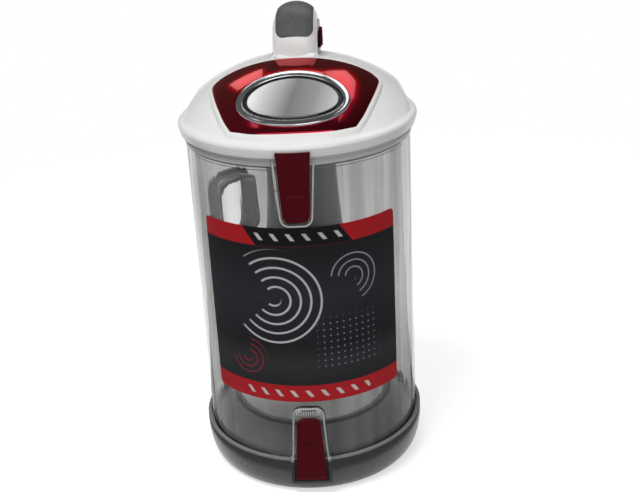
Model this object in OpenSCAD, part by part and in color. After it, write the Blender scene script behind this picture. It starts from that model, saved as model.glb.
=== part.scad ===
// Dust bin of an upright vacuum cleaner: a clear cup with a hinged lid above and a
// hinged emptying door below. Millimetres, +Z up, the front towards -Y.

/* [Cup] */
// Outer radius of the clear cup
cup_r = 88; // [84:0.5:92]
// Wall of the clear cup
cup_wall = 2.4; // [2:0.1:3]
// Height of the cup's lower edge above the floor
cup_foot_z = 28; // [27:0.5:30]
// Length of the clear wall
cup_len = 257.6; // [240:0.2:275]
// Height of the ledge that carries the screen, below the cup's top
ledge_drop = 10; // [8:0.5:12]
// Depth and height of that ledge
ledge_size = 2; // [1.5:0.1:2.5]
// How far the seam bead stands out of the wall
bead_out = 0.8; // [0.5:0.1:1]
// Height of the seam bead
bead_h = 1.4; // [1:0.1:2]
// Distance from the lid's edge down to the bead
bead_drop = 3; // [2:0.5:4]

/* [Lid] */
// Widest radius of the lid
lid_r = 93; // [92.5:0.1:96]
// Wall of the lid
lid_wall = 2.4; // [2:0.1:2.5]
// How far the lid's skirt reaches below the cup's top
skirt_lap = 1.6; // [1.4:0.1:2]
// Height of the skirt's tapered edge
skirt_edge_h = 6.5; // [5:0.5:8]
// Width of the raised rim around the dome
rim_w = 6; // [5:0.5:7]
// Radius that rounds the rim's outer edge
rim_round = 3; // [2:0.5:3.5]
// How much the skirt's lower edge draws in
skirt_draft = 1.7; // [1:0.1:1.9]
// Height of the dome's top above the cup's top
dome_h = 45.4; // [44.6:0.2:50]
// Distance of the dome's top behind the cup's axis
dome_back = 25; // [18:1:30]
// Radius of the dome from side to side
dome_rx = 138; // [130:1:145]
// Radius of the dome from front to back
dome_ry = 180; // [165:1:200]
// Depth of the lid's plug inside the cup
plug_h = 3; // [2:0.1:4]
// Wall of the plug
plug_wall = 2.2; // [1.8:0.1:2.6]
// Thickness of the plug's lip over the seal
plug_lip_t = 1.6; // [1.2:0.1:1.7]
// Gap between the plug and the cup
plug_gap = 0.45; // [0.35:0.05:0.6]
// Thickness of the lid's seal
lid_seal_h = 0.8; // [0.6:0.1:1]

/* [Trim panel] */
// Half width of the panel at its front edge
panel_front_x = 30; // [26:1:34]
// Half width at the front corners
panel_corner_x = 48; // [44:1:50]
// Half width at the widest place
panel_wide_x = 64.5; // [61:0.5:66]
// Half width at the back corners
panel_back_x = 47; // [42:1:52]
// Distance from the axis to the front edge
panel_front_y = 79.5; // [77:0.5:81]
// Distance from the axis to the front corners
panel_corner_y = 61; // [56:1:63]
// Distance behind the axis of the widest place
panel_wide_y = 4; // [0:1:8]
// Distance behind the axis of the back corners
panel_back_y = 22; // [19:1:24]
// Distance behind the axis of the back edge's middle
panel_tail_y = 12; // [9:1:13]
// Radius that rounds the panel's corners
panel_round = 6; // [4:0.5:8]
// How far the panel stands above the lid
panel_rise = 2.2; // [1.6:0.1:3]
// Width of the panel's sloping edge
panel_bevel = 2; // [1.2:0.1:3]
// Width of the white bead around the panel
lip_w = 3; // [2:0.1:4]
// How far that bead stands above the lid
lip_rise = 0.9; // [0.6:0.1:1.4]

/* [Badge] */
// Distance of the badge's middle in front of the axis
badge_y = 46.5; // [42:0.5:48]
// Half width of the badge's bright ring
badge_rx = 42.2; // [38:0.2:44]
// Half length of the bright ring along the slope
badge_ry = 32.2; // [28:0.2:33]
// Width of the bright ring
badge_ring_w = 4; // [3:0.1:5]
// Width of the dark border inside the ring
badge_border_w = 4.2; // [3:0.1:5]
// How far the ring stands above the panel
badge_ring_rise = 1.8; // [1.2:0.1:2.4]
// How far the dark border stands above the panel
badge_border_rise = 0.6; // [0.4:0.1:0.9]
// How far the bare plate stands above the panel
badge_plate_rise = 1.1; // [0.8:0.1:1.5]

/* [Handle] */
// Half width of the upper shell
grip_half_w = 17.6; // [16:0.2:20]
// How much wider the lower shell is on each side
belly_extra = 1.1; // [0.8:0.1:2]
// Thickness of the upper shell
crown_t = 8.8; // [7:0.2:10]
// Thickness of the lower shell
belly_t = 9.2; // [8:0.2:10]
// Parting line of the front leg, behind the axis
leg_front_y = 24; // [22:0.5:26]
// Parting line of the rear leg, behind the axis
leg_rear_y = 83; // [80:0.5:84]
// Height of the parting line's top above the front plinth
arch_h = 27.5; // [26:0.5:34]
// Radius of the parting line's bends
arch_r = 20; // [16:0.5:24]
// Height of the front plinth above the dome
plinth_h = 0.6; // [0.4:0.1:1.5]
// How far the rear plinth lies below the front one
plinth_drop = 6.6; // [5.5:0.1:7.5]
// Width of the plinths around the legs
plinth_edge = 0.8; // [0.5:0.1:1]
// Half width of the soft grip pad
pad_half_w = 14.8; // [12:0.2:16]
// How far the grip pad stands out of the shell
pad_rise = 0.7; // [0.4:0.1:1.2]
// Height of the pad's front edge above the front plinth
pad_start = 13.5; // [10:0.5:16]

/* [Release tabs] */
// Length of a tab along the leg
tab_len = 15; // [12:0.5:17]
// Width of a tab across the leg
tab_w = 7; // [6:0.2:7.4]
// Thickness of a tab
tab_t = 3; // [2.4:0.1:3.6]
// How far a tab stands out of the leg
tab_out = 1.6; // [1:0.1:2]
// How far a tab can be pressed in
tab_travel = 2.4; // [1.8:0.1:2.6]
// Gap around a tab
tab_gap = 0.4; // [0.3:0.05:0.6]
// Outer radius of a tab's spring
tab_spring_r = 2.4; // [2:0.1:2.6]

/* [Front latches] */
// Thickness of a latch
latch_t = 3.2; // [3:0.1:4]
// Distance from the cup's wall to a latch's back
latch_stand = 2.8; // [2.8:0.1:3.2]
// Radius of a pivot pin
pivot_r = 1.1; // [0.9:0.05:1.2]
// Gap between a pin and its bore
pivot_gap = 0.05; // [0.03:0.01:0.08]
// Radius of the barrel around a pin
barrel_r = 2.5; // [2.3:0.1:2.6]
// Distance from the cup's wall to the pivots
pivot_stand = 3.1; // [3.1:0.1:3.5]
// Thickness of the moulded surrounds
bezel_t = 2.4; // [1.8:0.1:2.8]
// Distance from the cup's wall to the surrounds' front
bezel_out = 5; // [4.8:0.1:5.4]
// Gap between a latch and its surround
bezel_gap = 1.2; // [0.8:0.1:1.4]
// Half width of the gap in a barrel that holds its spring
spring_gap_x = 3.6; // [3:0.2:4.5]
// Radius of a latch spring's wire
latch_wire_r = 0.3; // [0.2:0.05:0.35]
// Radius of the latches' rounded corners
latch_round = 5.5; // [4:0.5:7]
// How far a latch's hook ends in front of its catch
hook_gap = 0.3; // [0.25:0.05:0.5]
// How far a hook's nose reaches past its pocket
hook_nose = 0.5; // [0.4:0.05:0.7]
// Distance from the cup's wall to the seat of the catches
catch_stand = 2.2; // [2:0.1:2.3]
// Gap above and below a catch
catch_gap = 0.3; // [0.2:0.05:0.5]
// Distance from a latch's end to its catch
catch_in = 2.5; // [2:0.1:3]
// How far a catch stands out
catch_out = 1.2; // [0.9:0.1:1.4]
// Height of the catches
catch_h = 2.2; // [1.8:0.1:2.6]
// Half width of the catches
catch_x = 8; // [6:0.5:9]

/* [Lid latch] */
// Distance from the cup's top down to the pivot
lid_latch_drop = 24.6; // [24:0.2:27]
// Height of the latch above its pivot
lid_latch_up = 28; // [26:0.5:29]
// Length of the latch below its pivot
lid_latch_down = 24.5; // [22:0.5:27]
// Half width of the latch's top
lid_latch_top_x = 12.4; // [11:0.2:13]
// Half width of the latch's lower end
lid_latch_end_x = 9.9; // [9:0.1:11]

/* [Door latch] */
// Height of the door latch's pivot above the cup's lower edge
door_latch_rise = 22; // [20:0.5:24]
// Length of the latch above its pivot
door_latch_up = 21; // [19:0.5:23]
// Length of the latch below its pivot
door_latch_down = 35; // [34:0.5:36]
// Half width of the latch's upper end
door_latch_top_x = 9.4; // [9:0.1:10]
// Half width of the latch's lower end
door_latch_end_x = 12.5; // [11.5:0.1:13]
// Length of the ribbed thumb scoop above the latch
scoop_h = 8; // [6:0.5:9]

/* [Base door] */
// Outer radius of the door's rim
door_r = 92; // [91.6:0.1:94]
// Radius of the foot that stands on the floor
foot_r = 82; // [79:0.5:84]
// Height of the rim above the cup's lower edge
rim_lap = 5; // [4:0.2:6]
// Width of the rim's flat top
rim_t = 2.8; // [2.4:0.1:3]
// Wall of the door
door_wall = 2.6; // [2:0.1:3]
// Height of the dust floor above the cup's lower edge
plateau_rise = 23.2; // [20:0.5:26]
// Radius of the raised dust floor
plateau_r = 65; // [62:0.5:68]
// Width of the rounded edge around the floor plate
plateau_edge = 2.6; // [2:0.1:3.5]
// Width of the dark joint around the floor plate
floor_joint = 1.2; // [0.8:0.1:2]
// Thickness of the floor plate
floor_plate_t = 1.6; // [1.2:0.1:2.2]
// Radius of the outlet under the door
outlet_r = 58; // [54:0.5:59]
// Thickness of the door's seal
door_seal_h = 2.8; // [2.2:0.1:3.2]
// Gap between a seal and the cup
seal_gap = 0.15; // [0.1:0.05:0.3]
// Stiffening ribs under the door
door_ribs = 12; // [6:1:18]

/* [Hinges] */
// Distance of the hinge pins behind the cup's wall
hinge_stand = 10; // [9.5:0.1:11]
// Radius of the hinge pins
hinge_pin_r = 2; // [1.6:0.1:2.4]
// Radius of the hinge knuckles
knuckle_r = 4.1; // [3.8:0.1:4.3]
// Half width of the middle knuckle
knuckle_x = 13; // [10:0.5:16]
// Gap beside the middle knuckle
knuckle_gap = 0.5; // [0.4:0.05:0.8]
// Width of an outer knuckle
ear_w = 6; // [5:0.2:8]
// Height of the door's pin above the cup's lower edge
door_pin_rise = 2; // [1.5:0.1:3]
// Height of the lid's pin above the cup's top
lid_pin_rise = 2.4; // [2:0.1:3]

/* [Airway] */
// Distance of the outlet tube's axis behind the cup's axis
tube_y = 17; // [14:1:19]
// Outer radius of the outlet tube
tube_r = 22; // [20:0.5:23]
// Wall of the outlet tube
tube_wall = 2; // [1.6:0.1:2.4]
// Upper radius of the flared shroud
shroud_top_r = 25.6; // [25:0.1:27]
// Lower radius of the flared shroud
shroud_end_r = 34.5; // [32:0.5:37]
// Length of the flared shroud
shroud_len = 124; // [100:1:135]
// Wall of the shroud
shroud_wall = 2; // [1.6:0.1:2.4]
// Thickness of the perforated screen
screen_t = 1.2; // [1:0.1:1.6]
// Radius of a screen hole
screen_hole_r = 2.6; // [2.2:0.1:2.8]
// Distance between the screen's rings of holes
screen_step = 8; // [7.5:0.1:9]
// Width of the screen frame's outer ring
frame_ring_w = 5; // [4:0.2:6]
// Height of the screen frame
frame_h = 4; // [3.5:0.1:5]
// Width of the screen frame's spokes
spoke_w = 3; // [2:0.1:4]
// Number of spokes
spokes = 8; // [6:1:10]

/* [Inlet] */
// Angle of the inlet, seen from above
inlet_angle = 136; // [130:1:142]
// Height of the inlet's middle above the cup's lower edge
inlet_rise = 166; // [150:1:175]
// Width of the inlet's mouth
inlet_w = 36; // [32:1:40]
// Height of the inlet's mouth
inlet_h = 48; // [42:1:52]
// Wall of the inlet collar
inlet_wall = 3; // [2.5:0.1:3.5]
// Radius of the inlet's rounded corners
inlet_round = 9; // [6:0.5:12]
// Length of the collar outside the cup
inlet_out = 9; // [7:0.5:12]
// Length of the collar inside the cup
inlet_in = 3; // [2:0.5:4]
// Width of the collar's flange
flange_w = 4; // [3:0.1:5]
// Thickness of the collar's flange
flange_t = 2.4; // [2:0.1:3]
// Thickness of the inlet's seal
inlet_seal_t = 2; // [1.5:0.1:3]

/* [Label] */
// Height of the label's lower edge above the cup's lower edge
label_rise = 56; // [54:0.5:60]
// Height of the label
label_h = 146; // [130:1:147]
// Half angle that the label covers
label_angle = 53.5; // [45:0.5:58]
// Thickness of the label
label_t = 0.3; // [0.2:0.05:0.4]
// Radius of the label's corners
label_round = 4; // [2:0.5:8]

/* [Screws] */
// Radius of a screw's shank
screw_r = 1.5; // [1.2:0.1:1.8]
// Radius of a screw's head
screw_head_r = 3; // [2.6:0.1:3.4]
// Height of a screw's head
screw_head_h = 2; // [1.6:0.1:2.4]
// Radius of a screw boss
boss_r = 4; // [3.6:0.1:4.6]
// How far a screw boss reaches below the dome
boss_h = 8; // [6:0.5:10]
// Half distance between the screws of one leg
screw_x = 6.5; // [5.5:0.5:7]
// How far a screw reaches into the handle
screw_bite = 9; // [7:0.5:12]

/* [Hidden] */
$fn = 96;
// Overrun of the cuts
overrun = cup_wall / 2;
// Thin gap between pieces that are fitted by hand
fit_gap = seal_gap / 3;

cup_top_z = cup_foot_z + cup_len;
lid_edge_z = cup_top_z - skirt_lap;
dome_top_z = cup_top_z + dome_h;
cup_bore_r = cup_r - cup_wall;

// Latches
pivot_y = -cup_r - pivot_stand;
latch_back_r = cup_r + latch_stand;
latch_face_r = latch_back_r + latch_t;
catch_seat_r = cup_r + catch_stand;
hook_r = catch_seat_r + catch_out + hook_gap;
lid_pivot_z = cup_top_z - lid_latch_drop;
lid_latch_top_z = lid_pivot_z + lid_latch_up;
lid_latch_end_z = lid_pivot_z - lid_latch_down;
lid_catch_z = lid_latch_top_z - catch_in - catch_h;
door_pivot_z = cup_foot_z + door_latch_rise;
door_latch_top_z = door_pivot_z + door_latch_up;
door_latch_end_z = door_pivot_z - door_latch_down;
door_catch_z = door_latch_end_z + catch_in - catch_h / 2;
pivot_span = door_latch_end_x + bezel_gap + bezel_t / 2;
notch_gap = bezel_gap;

// Door
rim_z = cup_foot_z + rim_lap;
groove_z = cup_foot_z - seal_gap - door_seal_h;
groove_r = door_r - rim_t;
tongue_r = cup_bore_r - plug_gap * 2;
tongue_z = cup_foot_z + door_wall;
plateau_z = cup_foot_z + plateau_rise;
plate_seat_z = plateau_z - floor_plate_t;
plate_r = plateau_r - plateau_edge - floor_joint;
foot_curve_h = rim_z - rim_lap * 1.4;
tube_hole_r = tube_r - tube_wall * 1.5;
outlet_wall_r = outlet_r + door_wall;

// Hinges
hinge_y = cup_r + hinge_stand;
door_pin_z = cup_foot_z + door_pin_rise;
lid_pin_z = cup_top_z + lid_pin_rise;
ear_x = knuckle_x + knuckle_gap;
ear_inner_r = lid_r + hook_gap;

// Airway
screen_z = cup_top_z - ledge_drop + frame_h;
frame_z = cup_top_z - ledge_drop;
frame_r = cup_bore_r - hook_gap;
collar_r = shroud_top_r;
tube_foot_z = plateau_z + door_seal_h;
tube_top_z = cup_top_z - plug_gap * 4;
shroud_top_z = frame_z;
inlet_z = cup_foot_z + inlet_rise;

// Handle
// Squareness of the shells' sections, where 2 is an ellipse
crown_shares = 2.2;
belly_shares = 4.5;
bend_steps = 8;
section_steps = 12;
front_foot_z = dome_top_z + plinth_h;
rear_foot_z = front_foot_z - plinth_drop;
crown_top_z = front_foot_z + arch_h;
bend_z = crown_top_z - arch_r;
pad_angle = asin((pad_start - arch_h + arch_r) / arch_r);
belly_half_w = grip_half_w + belly_extra;
// Angle across the shell at which the soft pad begins
pad_side_angle = acos(pow(pad_half_w / grip_half_w, crown_shares / 2));
// Middle and foot of each leg
screw_legs = [
  [leg_front_y + belly_t / 2, front_foot_z],
  [leg_rear_y - belly_t / 2, rear_foot_z]
];
tab_y = leg_rear_y - belly_t / 2;
tab_z = rear_foot_z + tab_len / 2 + plinth_edge * 2;
tab_floor_x = belly_half_w + tab_out - tab_t - tab_travel - tab_gap;
tab_spring_len = tab_floor_x * 0.4;

// Points of an arc round c, from angle a0 to angle a1
function arc(c, r, a0, a1, steps) = [
  for (i = [0 : steps])
    let (a = a0 + (a1 - a0) * i / steps)
      [c[0] + r * cos(a), c[1] + r * sin(a)]
];

// Outline of a rectangle with round corners, centred at c
function round_rect(c, size, r) =
  let (dx = size[0] / 2 - r, dy = size[1] / 2 - r)
    concat(
      arc([c[0] + dx, c[1] + dy], r, 0, 90, 8),
      arc([c[0] - dx, c[1] + dy], r, 90, 180, 8),
      arc([c[0] - dx, c[1] - dy], r, 180, 270, 8),
      arc([c[0] + dx, c[1] - dy], r, 270, 360, 8)
    );

// Outline of a latch: square at the wide end, round at the narrow one
function tongue(wide_x, wide_z, thin_x, thin_z, r) =
  let (s = wide_z > thin_z ? 1 : -1)
    concat(
      [[-wide_x, wide_z]],
      [for (a = [180 : 15 : 270]) [r - thin_x + r * cos(a), thin_z + s * (r + r * sin(a))]],
      [for (a = [270 : 15 : 360]) [thin_x - r + r * cos(a), thin_z + s * (r + r * sin(a))]],
      [[wide_x, wide_z]]
    );

// Point of a squared ellipse at angle a
function oval(a, rx, ry, shares) = [
  rx * sign(cos(a)) * pow(abs(cos(a)), 2 / shares),
  ry * sign(sin(a)) * pow(abs(sin(a)), 2 / shares)
];

// Solid lofted through rings of equally many points
module loft(rings) {
  n = len(rings[0]);
  last = len(rings) - 1;
  points = [for (ring = rings) each ring];
  sides = [
    for (k = [0 : last - 1], i = [0 : n - 1])
      let (j = (i + 1) % n)
        each [
          [k * n + i, k * n + j, k * n + n + j],
          [k * n + i, k * n + n + j, k * n + n + i]
        ]
  ];
  start = [for (i = [n - 1 : -1 : 0]) i];
  finish = [for (i = [0 : n - 1]) last * n + i];
  polyhedron(points, concat([start], sides, [finish]), convexity = 6);
}

// Coil spring along +Z
module coil(mean_r, wire_r, length, turns) {
  steps = turns * 12;
  rise = length - 2 * wire_r;
  loft([
    for (k = [0 : steps])
      let (a = 30 * k, z = wire_r + rise * k / steps)
        [
          for (i = [0 : 5])
            let (r = mean_r + wire_r * cos(60 * i))
              [r * cos(a), r * sin(a), z + wire_r * sin(60 * i)]
        ]
  ]);
}

// Ring-shaped solid between two radii
module ring(outer_r, inner_r, z0, z1) {
  translate([0, 0, z0])
    difference() {
      cylinder(h = z1 - z0, r = outer_r);
      translate([0, 0, -overrun]) cylinder(h = z1 - z0 + 2 * overrun, r = inner_r);
    }
}

// Outline in the front view, extruded from the cup's axis to y = -depth
module front_extrude(depth) {
  rotate([90, 0, 0]) linear_extrude(depth) children();
}

// Outline in the side view, extruded to both sides of the middle
module side_extrude(half_w) {
  rotate([90, 0, 90])
    translate([0, 0, -half_w])
      linear_extrude(2 * half_w) children();
}

// Bore along X at a hinge or a pivot
module cross_bore(y, z, r, half_len) {
  translate([-half_len, y, z]) rotate([0, 90, 0]) cylinder(h = 2 * half_len, r = r);
}

// Everything under the lid's dome, grown outwards by grow
module dome(grow) {
  reach = lid_r * 1.2;
  translate([0, dome_back, dome_top_z - dome_ry])
    rotate([0, 90, 0])
      rotate_extrude()
        intersection() {
          translate([dome_ry - dome_rx, 0]) circle(dome_rx + grow);
          translate([0, -reach]) square([dome_ry + grow, 2 * reach]);
        }
}

// Layer on the dome between two heights
module dome_layer(low, high) {
  difference() {
    intersection() {
      dome(high);
      translate([0, 0, lid_edge_z]) linear_extrude(dome_h + lid_r) children();
    }
    dome(low);
  }
}

// Cup

// Surround of a latch, open towards the wide end
module bezel(wide_x, wide_z, thin_x, thin_z, extra) {
  s = wide_z > thin_z ? 1 : -1;
  inner_z = thin_z - s * (bezel_gap + extra);
  outer_z = inner_z - s * bezel_t;
  inner_wide = wide_x + bezel_gap;
  inner_thin = thin_x + bezel_gap;
  outer_wide = inner_wide + bezel_t;
  outer_thin = inner_thin + bezel_t;
  difference() {
    front_extrude(cup_r + bezel_out)
      polygon(tongue(outer_wide, wide_z, outer_thin, outer_z, latch_round + bezel_t));
    translate([0, 2 * overrun - cup_r, 0])
      front_extrude(bezel_out + 3 * overrun)
        polygon(tongue(inner_wide, wide_z + s * overrun, inner_thin, inner_z, latch_round));
  }
}

module cup_ears(pin_z, far_z, near_z, up) {
  for (side = [-1, 1])
    translate([side * (ear_x + ear_w / 2), 0, 0])
      difference() {
        union() {
          cross_bore(hinge_y, pin_z, knuckle_r, ear_w / 2);
          side_extrude(ear_w / 2)
            polygon([
              [cup_bore_r, far_z],
              [cup_r + overrun * 2, far_z],
              [hinge_y + knuckle_r, pin_z + up * knuckle_r * 1.6],
              [hinge_y + knuckle_r, pin_z],
              [ear_inner_r, pin_z],
              [ear_inner_r, near_z],
              [cup_bore_r, near_z]
            ]);
        }
        cross_bore(hinge_y, pin_z, hinge_pin_r + pivot_gap, ear_w);
      }
}

module cup_shell() {
  color([0.8, 0.82, 0.83, 0.35])
    difference() {
      union() {
        translate([0, 0, cup_foot_z]) cylinder(h = cup_len, r = cup_r);
        translate([0, 0, lid_edge_z - bead_drop - bead_h]) cylinder(h = bead_h, r = cup_r + bead_out);
        bezel(lid_latch_top_x, lid_edge_z - bead_h / 2, lid_latch_end_x, lid_latch_end_z, 0);
        bezel(door_latch_end_x, rim_z + bead_h, door_latch_top_x, door_latch_top_z, scoop_h - bezel_t);
        cup_ears(lid_pin_z, lid_pin_z - knuckle_r * 10, lid_edge_z - knuckle_r * 2, -1);
        cup_ears(door_pin_z, door_pin_z + knuckle_r * 9, rim_z + bead_h, 1);
      }
      translate([0, 0, cup_foot_z - overrun])
        cylinder(h = cup_len - ledge_drop - ledge_size + overrun, r = cup_bore_r);
      translate([0, 0, cup_top_z - ledge_drop - ledge_size - overrun])
        cylinder(h = ledge_size + 2 * overrun, r = cup_bore_r - ledge_size);
      translate([0, 0, cup_top_z - ledge_drop]) cylinder(h = ledge_drop + overrun, r = cup_bore_r);
      cross_bore(pivot_y, lid_pivot_z, pivot_r + pivot_gap, pivot_span + bezel_t);
      cross_bore(pivot_y, door_pivot_z, pivot_r + pivot_gap, pivot_span + bezel_t);
      inlet_extrude(cup_bore_r * 0.8, cup_r + overrun)
        polygon(round_rect([0, 0], inlet_size(inlet_wall + fit_gap), inlet_round + inlet_wall));
    }
}

// Inlet

function inlet_size(grow) = [inlet_w + 2 * grow, inlet_h + 2 * grow];

// Outline round the inlet's axis, extruded between two distances from the cup's axis
module inlet_extrude(near, far) {
  rotate([0, 0, inlet_angle])
    translate([near, 0, inlet_z])
      rotate([90, 0, 90]) linear_extrude(far - near) children();
}

module inlet_collar() {
  tip = cup_r + inlet_out;
  color([0.22, 0.23, 0.24])
    difference() {
      union() {
        inlet_extrude(cup_bore_r - inlet_in * 2, tip)
          polygon(round_rect([0, 0], inlet_size(inlet_wall), inlet_round + inlet_wall));
        inlet_extrude(tip - flange_t, tip)
          polygon(round_rect([0, 0], inlet_size(inlet_wall + flange_w), inlet_round + inlet_wall + flange_w));
      }
      inlet_extrude(cup_bore_r * 0.8, tip + overrun)
        polygon(round_rect([0, 0], inlet_size(0), inlet_round));
    }
}

module inlet_seal() {
  tip = cup_r + inlet_out;
  color([0.08, 0.08, 0.09])
    difference() {
      inlet_extrude(tip, tip + inlet_seal_t)
        polygon(round_rect([0, 0], inlet_size(inlet_wall), inlet_round + inlet_wall));
      inlet_extrude(tip - overrun, tip + inlet_seal_t + overrun)
        polygon(round_rect([0, 0], inlet_size(0), inlet_round));
    }
}

// Airway

module outlet_tube() {
  color([0.2, 0.21, 0.22])
    translate([0, tube_y, 0])
      difference() {
        union() {
          translate([0, 0, tube_foot_z]) cylinder(h = tube_top_z - tube_foot_z, r = tube_r);
          translate([0, 0, tube_foot_z]) cylinder(h = door_seal_h, r = tube_r + tube_wall);
        }
        translate([0, 0, tube_foot_z - overrun])
          cylinder(h = tube_top_z - tube_foot_z + 2 * overrun, r = tube_r - tube_wall);
      }
}

module shroud() {
  flange_h = shroud_wall * 1.5;
  low_z = shroud_top_z - shroud_len;
  color([0.25, 0.26, 0.27])
    translate([0, tube_y, 0])
      difference() {
        translate([0, 0, low_z]) cylinder(h = shroud_len, r1 = shroud_end_r, r2 = shroud_top_r);
        translate([0, 0, low_z - overrun])
          cylinder(
            h = shroud_len - flange_h + overrun,
            r1 = shroud_end_r - shroud_wall,
            r2 = shroud_top_r - shroud_wall
          );
        translate([0, 0, shroud_top_z - flange_h - overrun])
          cylinder(h = flange_h + 2 * overrun, r = tube_r + fit_gap);
      }
}

module screen_frame() {
  color([0.24, 0.25, 0.26])
    difference() {
      intersection() {
        union() {
          ring(frame_r, frame_r - frame_ring_w, frame_z, screen_z);
          translate([0, tube_y, frame_z])
            for (i = [0 : spokes - 1])
              rotate([0, 0, 360 * (i + 0.5) / spokes])
                translate([0, -spoke_w / 2, 0]) cube([frame_r * 2, spoke_w, frame_h]);
        }
        translate([0, 0, frame_z]) cylinder(h = frame_h, r = frame_r);
      }
      translate([0, tube_y, frame_z - overrun]) cylinder(h = frame_h + 2 * overrun, r = collar_r);
    }
}

module screen_hub() {
  color([0.26, 0.27, 0.28])
    translate([0, tube_y, 0])
      ring(collar_r, tube_r + fit_gap, frame_z, screen_z);
}

module dust_screen() {
  first_r = collar_r + screen_step * 0.6;
  rings = floor((frame_r * 2 - first_r) / screen_step);
  limit_r = frame_r - frame_ring_w - screen_hole_r * 1.5;
  color([0.6, 0.61, 0.62])
    translate([0, 0, screen_z])
      linear_extrude(screen_t)
        difference() {
          circle(frame_r - frame_ring_w / 2);
          translate([0, tube_y]) circle(tube_r + fit_gap);
          for (k = [0 : rings])
            let (r = first_r + k * screen_step, count = floor(PI * 2 * r / screen_step))
              for (i = [0 : count - 1])
                let (x = r * cos(360 * i / count), y = tube_y + r * sin(360 * i / count))
                  if (norm([x, y]) < limit_r)
                    translate([x, y]) circle(screen_hole_r, $fn = 16);
        }
}

// Label

module label() {
  low_z = cup_foot_z + label_rise;
  half_w = cup_r * sin(label_angle);
  color([0.12, 0.1, 0.11])
    intersection() {
      ring(cup_r + label_t, cup_r, low_z, low_z + label_h);
      front_extrude(cup_r * 1.1)
        polygon(round_rect([0, low_z + label_h / 2], [2 * half_w, label_h], label_round));
    }
}

// Front latches

// Rocker with its barrel and the pocket that clears the catch
module rocker(wide_x, wide_z, thin_x, thin_z, pivot_z, catch_z) {
  s = wide_z > thin_z ? 1 : -1;
  barrel_x = min(wide_x, thin_x) - pivot_gap;
  pocket_low = min(catch_z - catch_gap, wide_z);
  pocket_x = catch_x + notch_gap;
  difference() {
    union() {
      intersection() {
        ring(latch_face_r, latch_back_r, min(wide_z, thin_z) - overrun, max(wide_z, thin_z) + overrun);
        front_extrude(latch_face_r * 1.1)
          polygon(tongue(wide_x, wide_z, thin_x, thin_z, latch_round));
      }
      cross_bore(pivot_y, pivot_z, barrel_r, barrel_x);
    }
    cross_bore(pivot_y, pivot_z, pivot_r + pivot_gap, wide_x * 2);
    intersection() {
      ring(hook_r, cup_bore_r, min(catch_z, wide_z) - catch_h, max(catch_z + catch_h, wide_z) + catch_h);
      translate([-pocket_x, -latch_face_r * 1.1, s > 0 ? catch_z - catch_gap : wide_z - catch_h])
        cube([2 * pocket_x, latch_face_r, abs(wide_z - catch_z) + catch_h + catch_gap]);
    }
    intersection() {
      ring(hook_r + hook_nose, cup_bore_r, catch_z - catch_gap, catch_z + catch_h + catch_gap);
      translate([-pocket_x, -latch_face_r * 1.1, catch_z - catch_gap])
        cube([2 * pocket_x, latch_face_r, catch_h + 2 * catch_gap]);
    }
    cross_bore(pivot_y, pivot_z, barrel_r - pivot_gap * 4, spring_gap_x);
  }
}

module lid_latch() {
  color([0.42, 0.02, 0.05])
    rocker(lid_latch_top_x, lid_latch_top_z, lid_latch_end_x, lid_latch_end_z, lid_pivot_z, lid_catch_z);
}

module door_latch() {
  color([0.3, 0.05, 0.08])
    rocker(
      door_latch_end_x, door_latch_end_z, door_latch_top_x, door_latch_top_z, door_pivot_z, door_catch_z
    );
}

module latch_pin(z) {
  color([0.7, 0.7, 0.72]) cross_bore(pivot_y, z, pivot_r, pivot_span);
}

module lid_latch_pin() {
  latch_pin(lid_pivot_z);
}

module door_latch_pin() {
  latch_pin(door_pivot_z);
}

module latch_spring(z) {
  half_len = spring_gap_x - latch_wire_r;
  color([0.75, 0.75, 0.76])
    translate([-half_len, pivot_y, z])
      rotate([0, 90, 0])
        coil(pivot_r + latch_wire_r * 2, latch_wire_r, 2 * half_len, 6);
}

module lid_latch_spring() {
  latch_spring(lid_pivot_z);
}

module door_latch_spring() {
  latch_spring(door_pivot_z);
}

// Base door

// Outside of the door: a quarter of an ellipse up to its rim
function skin(a, inset) = [
  foot_r + (door_r - foot_r) * sin(a) - inset,
  foot_curve_h * (1 - cos(a))
];

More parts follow.
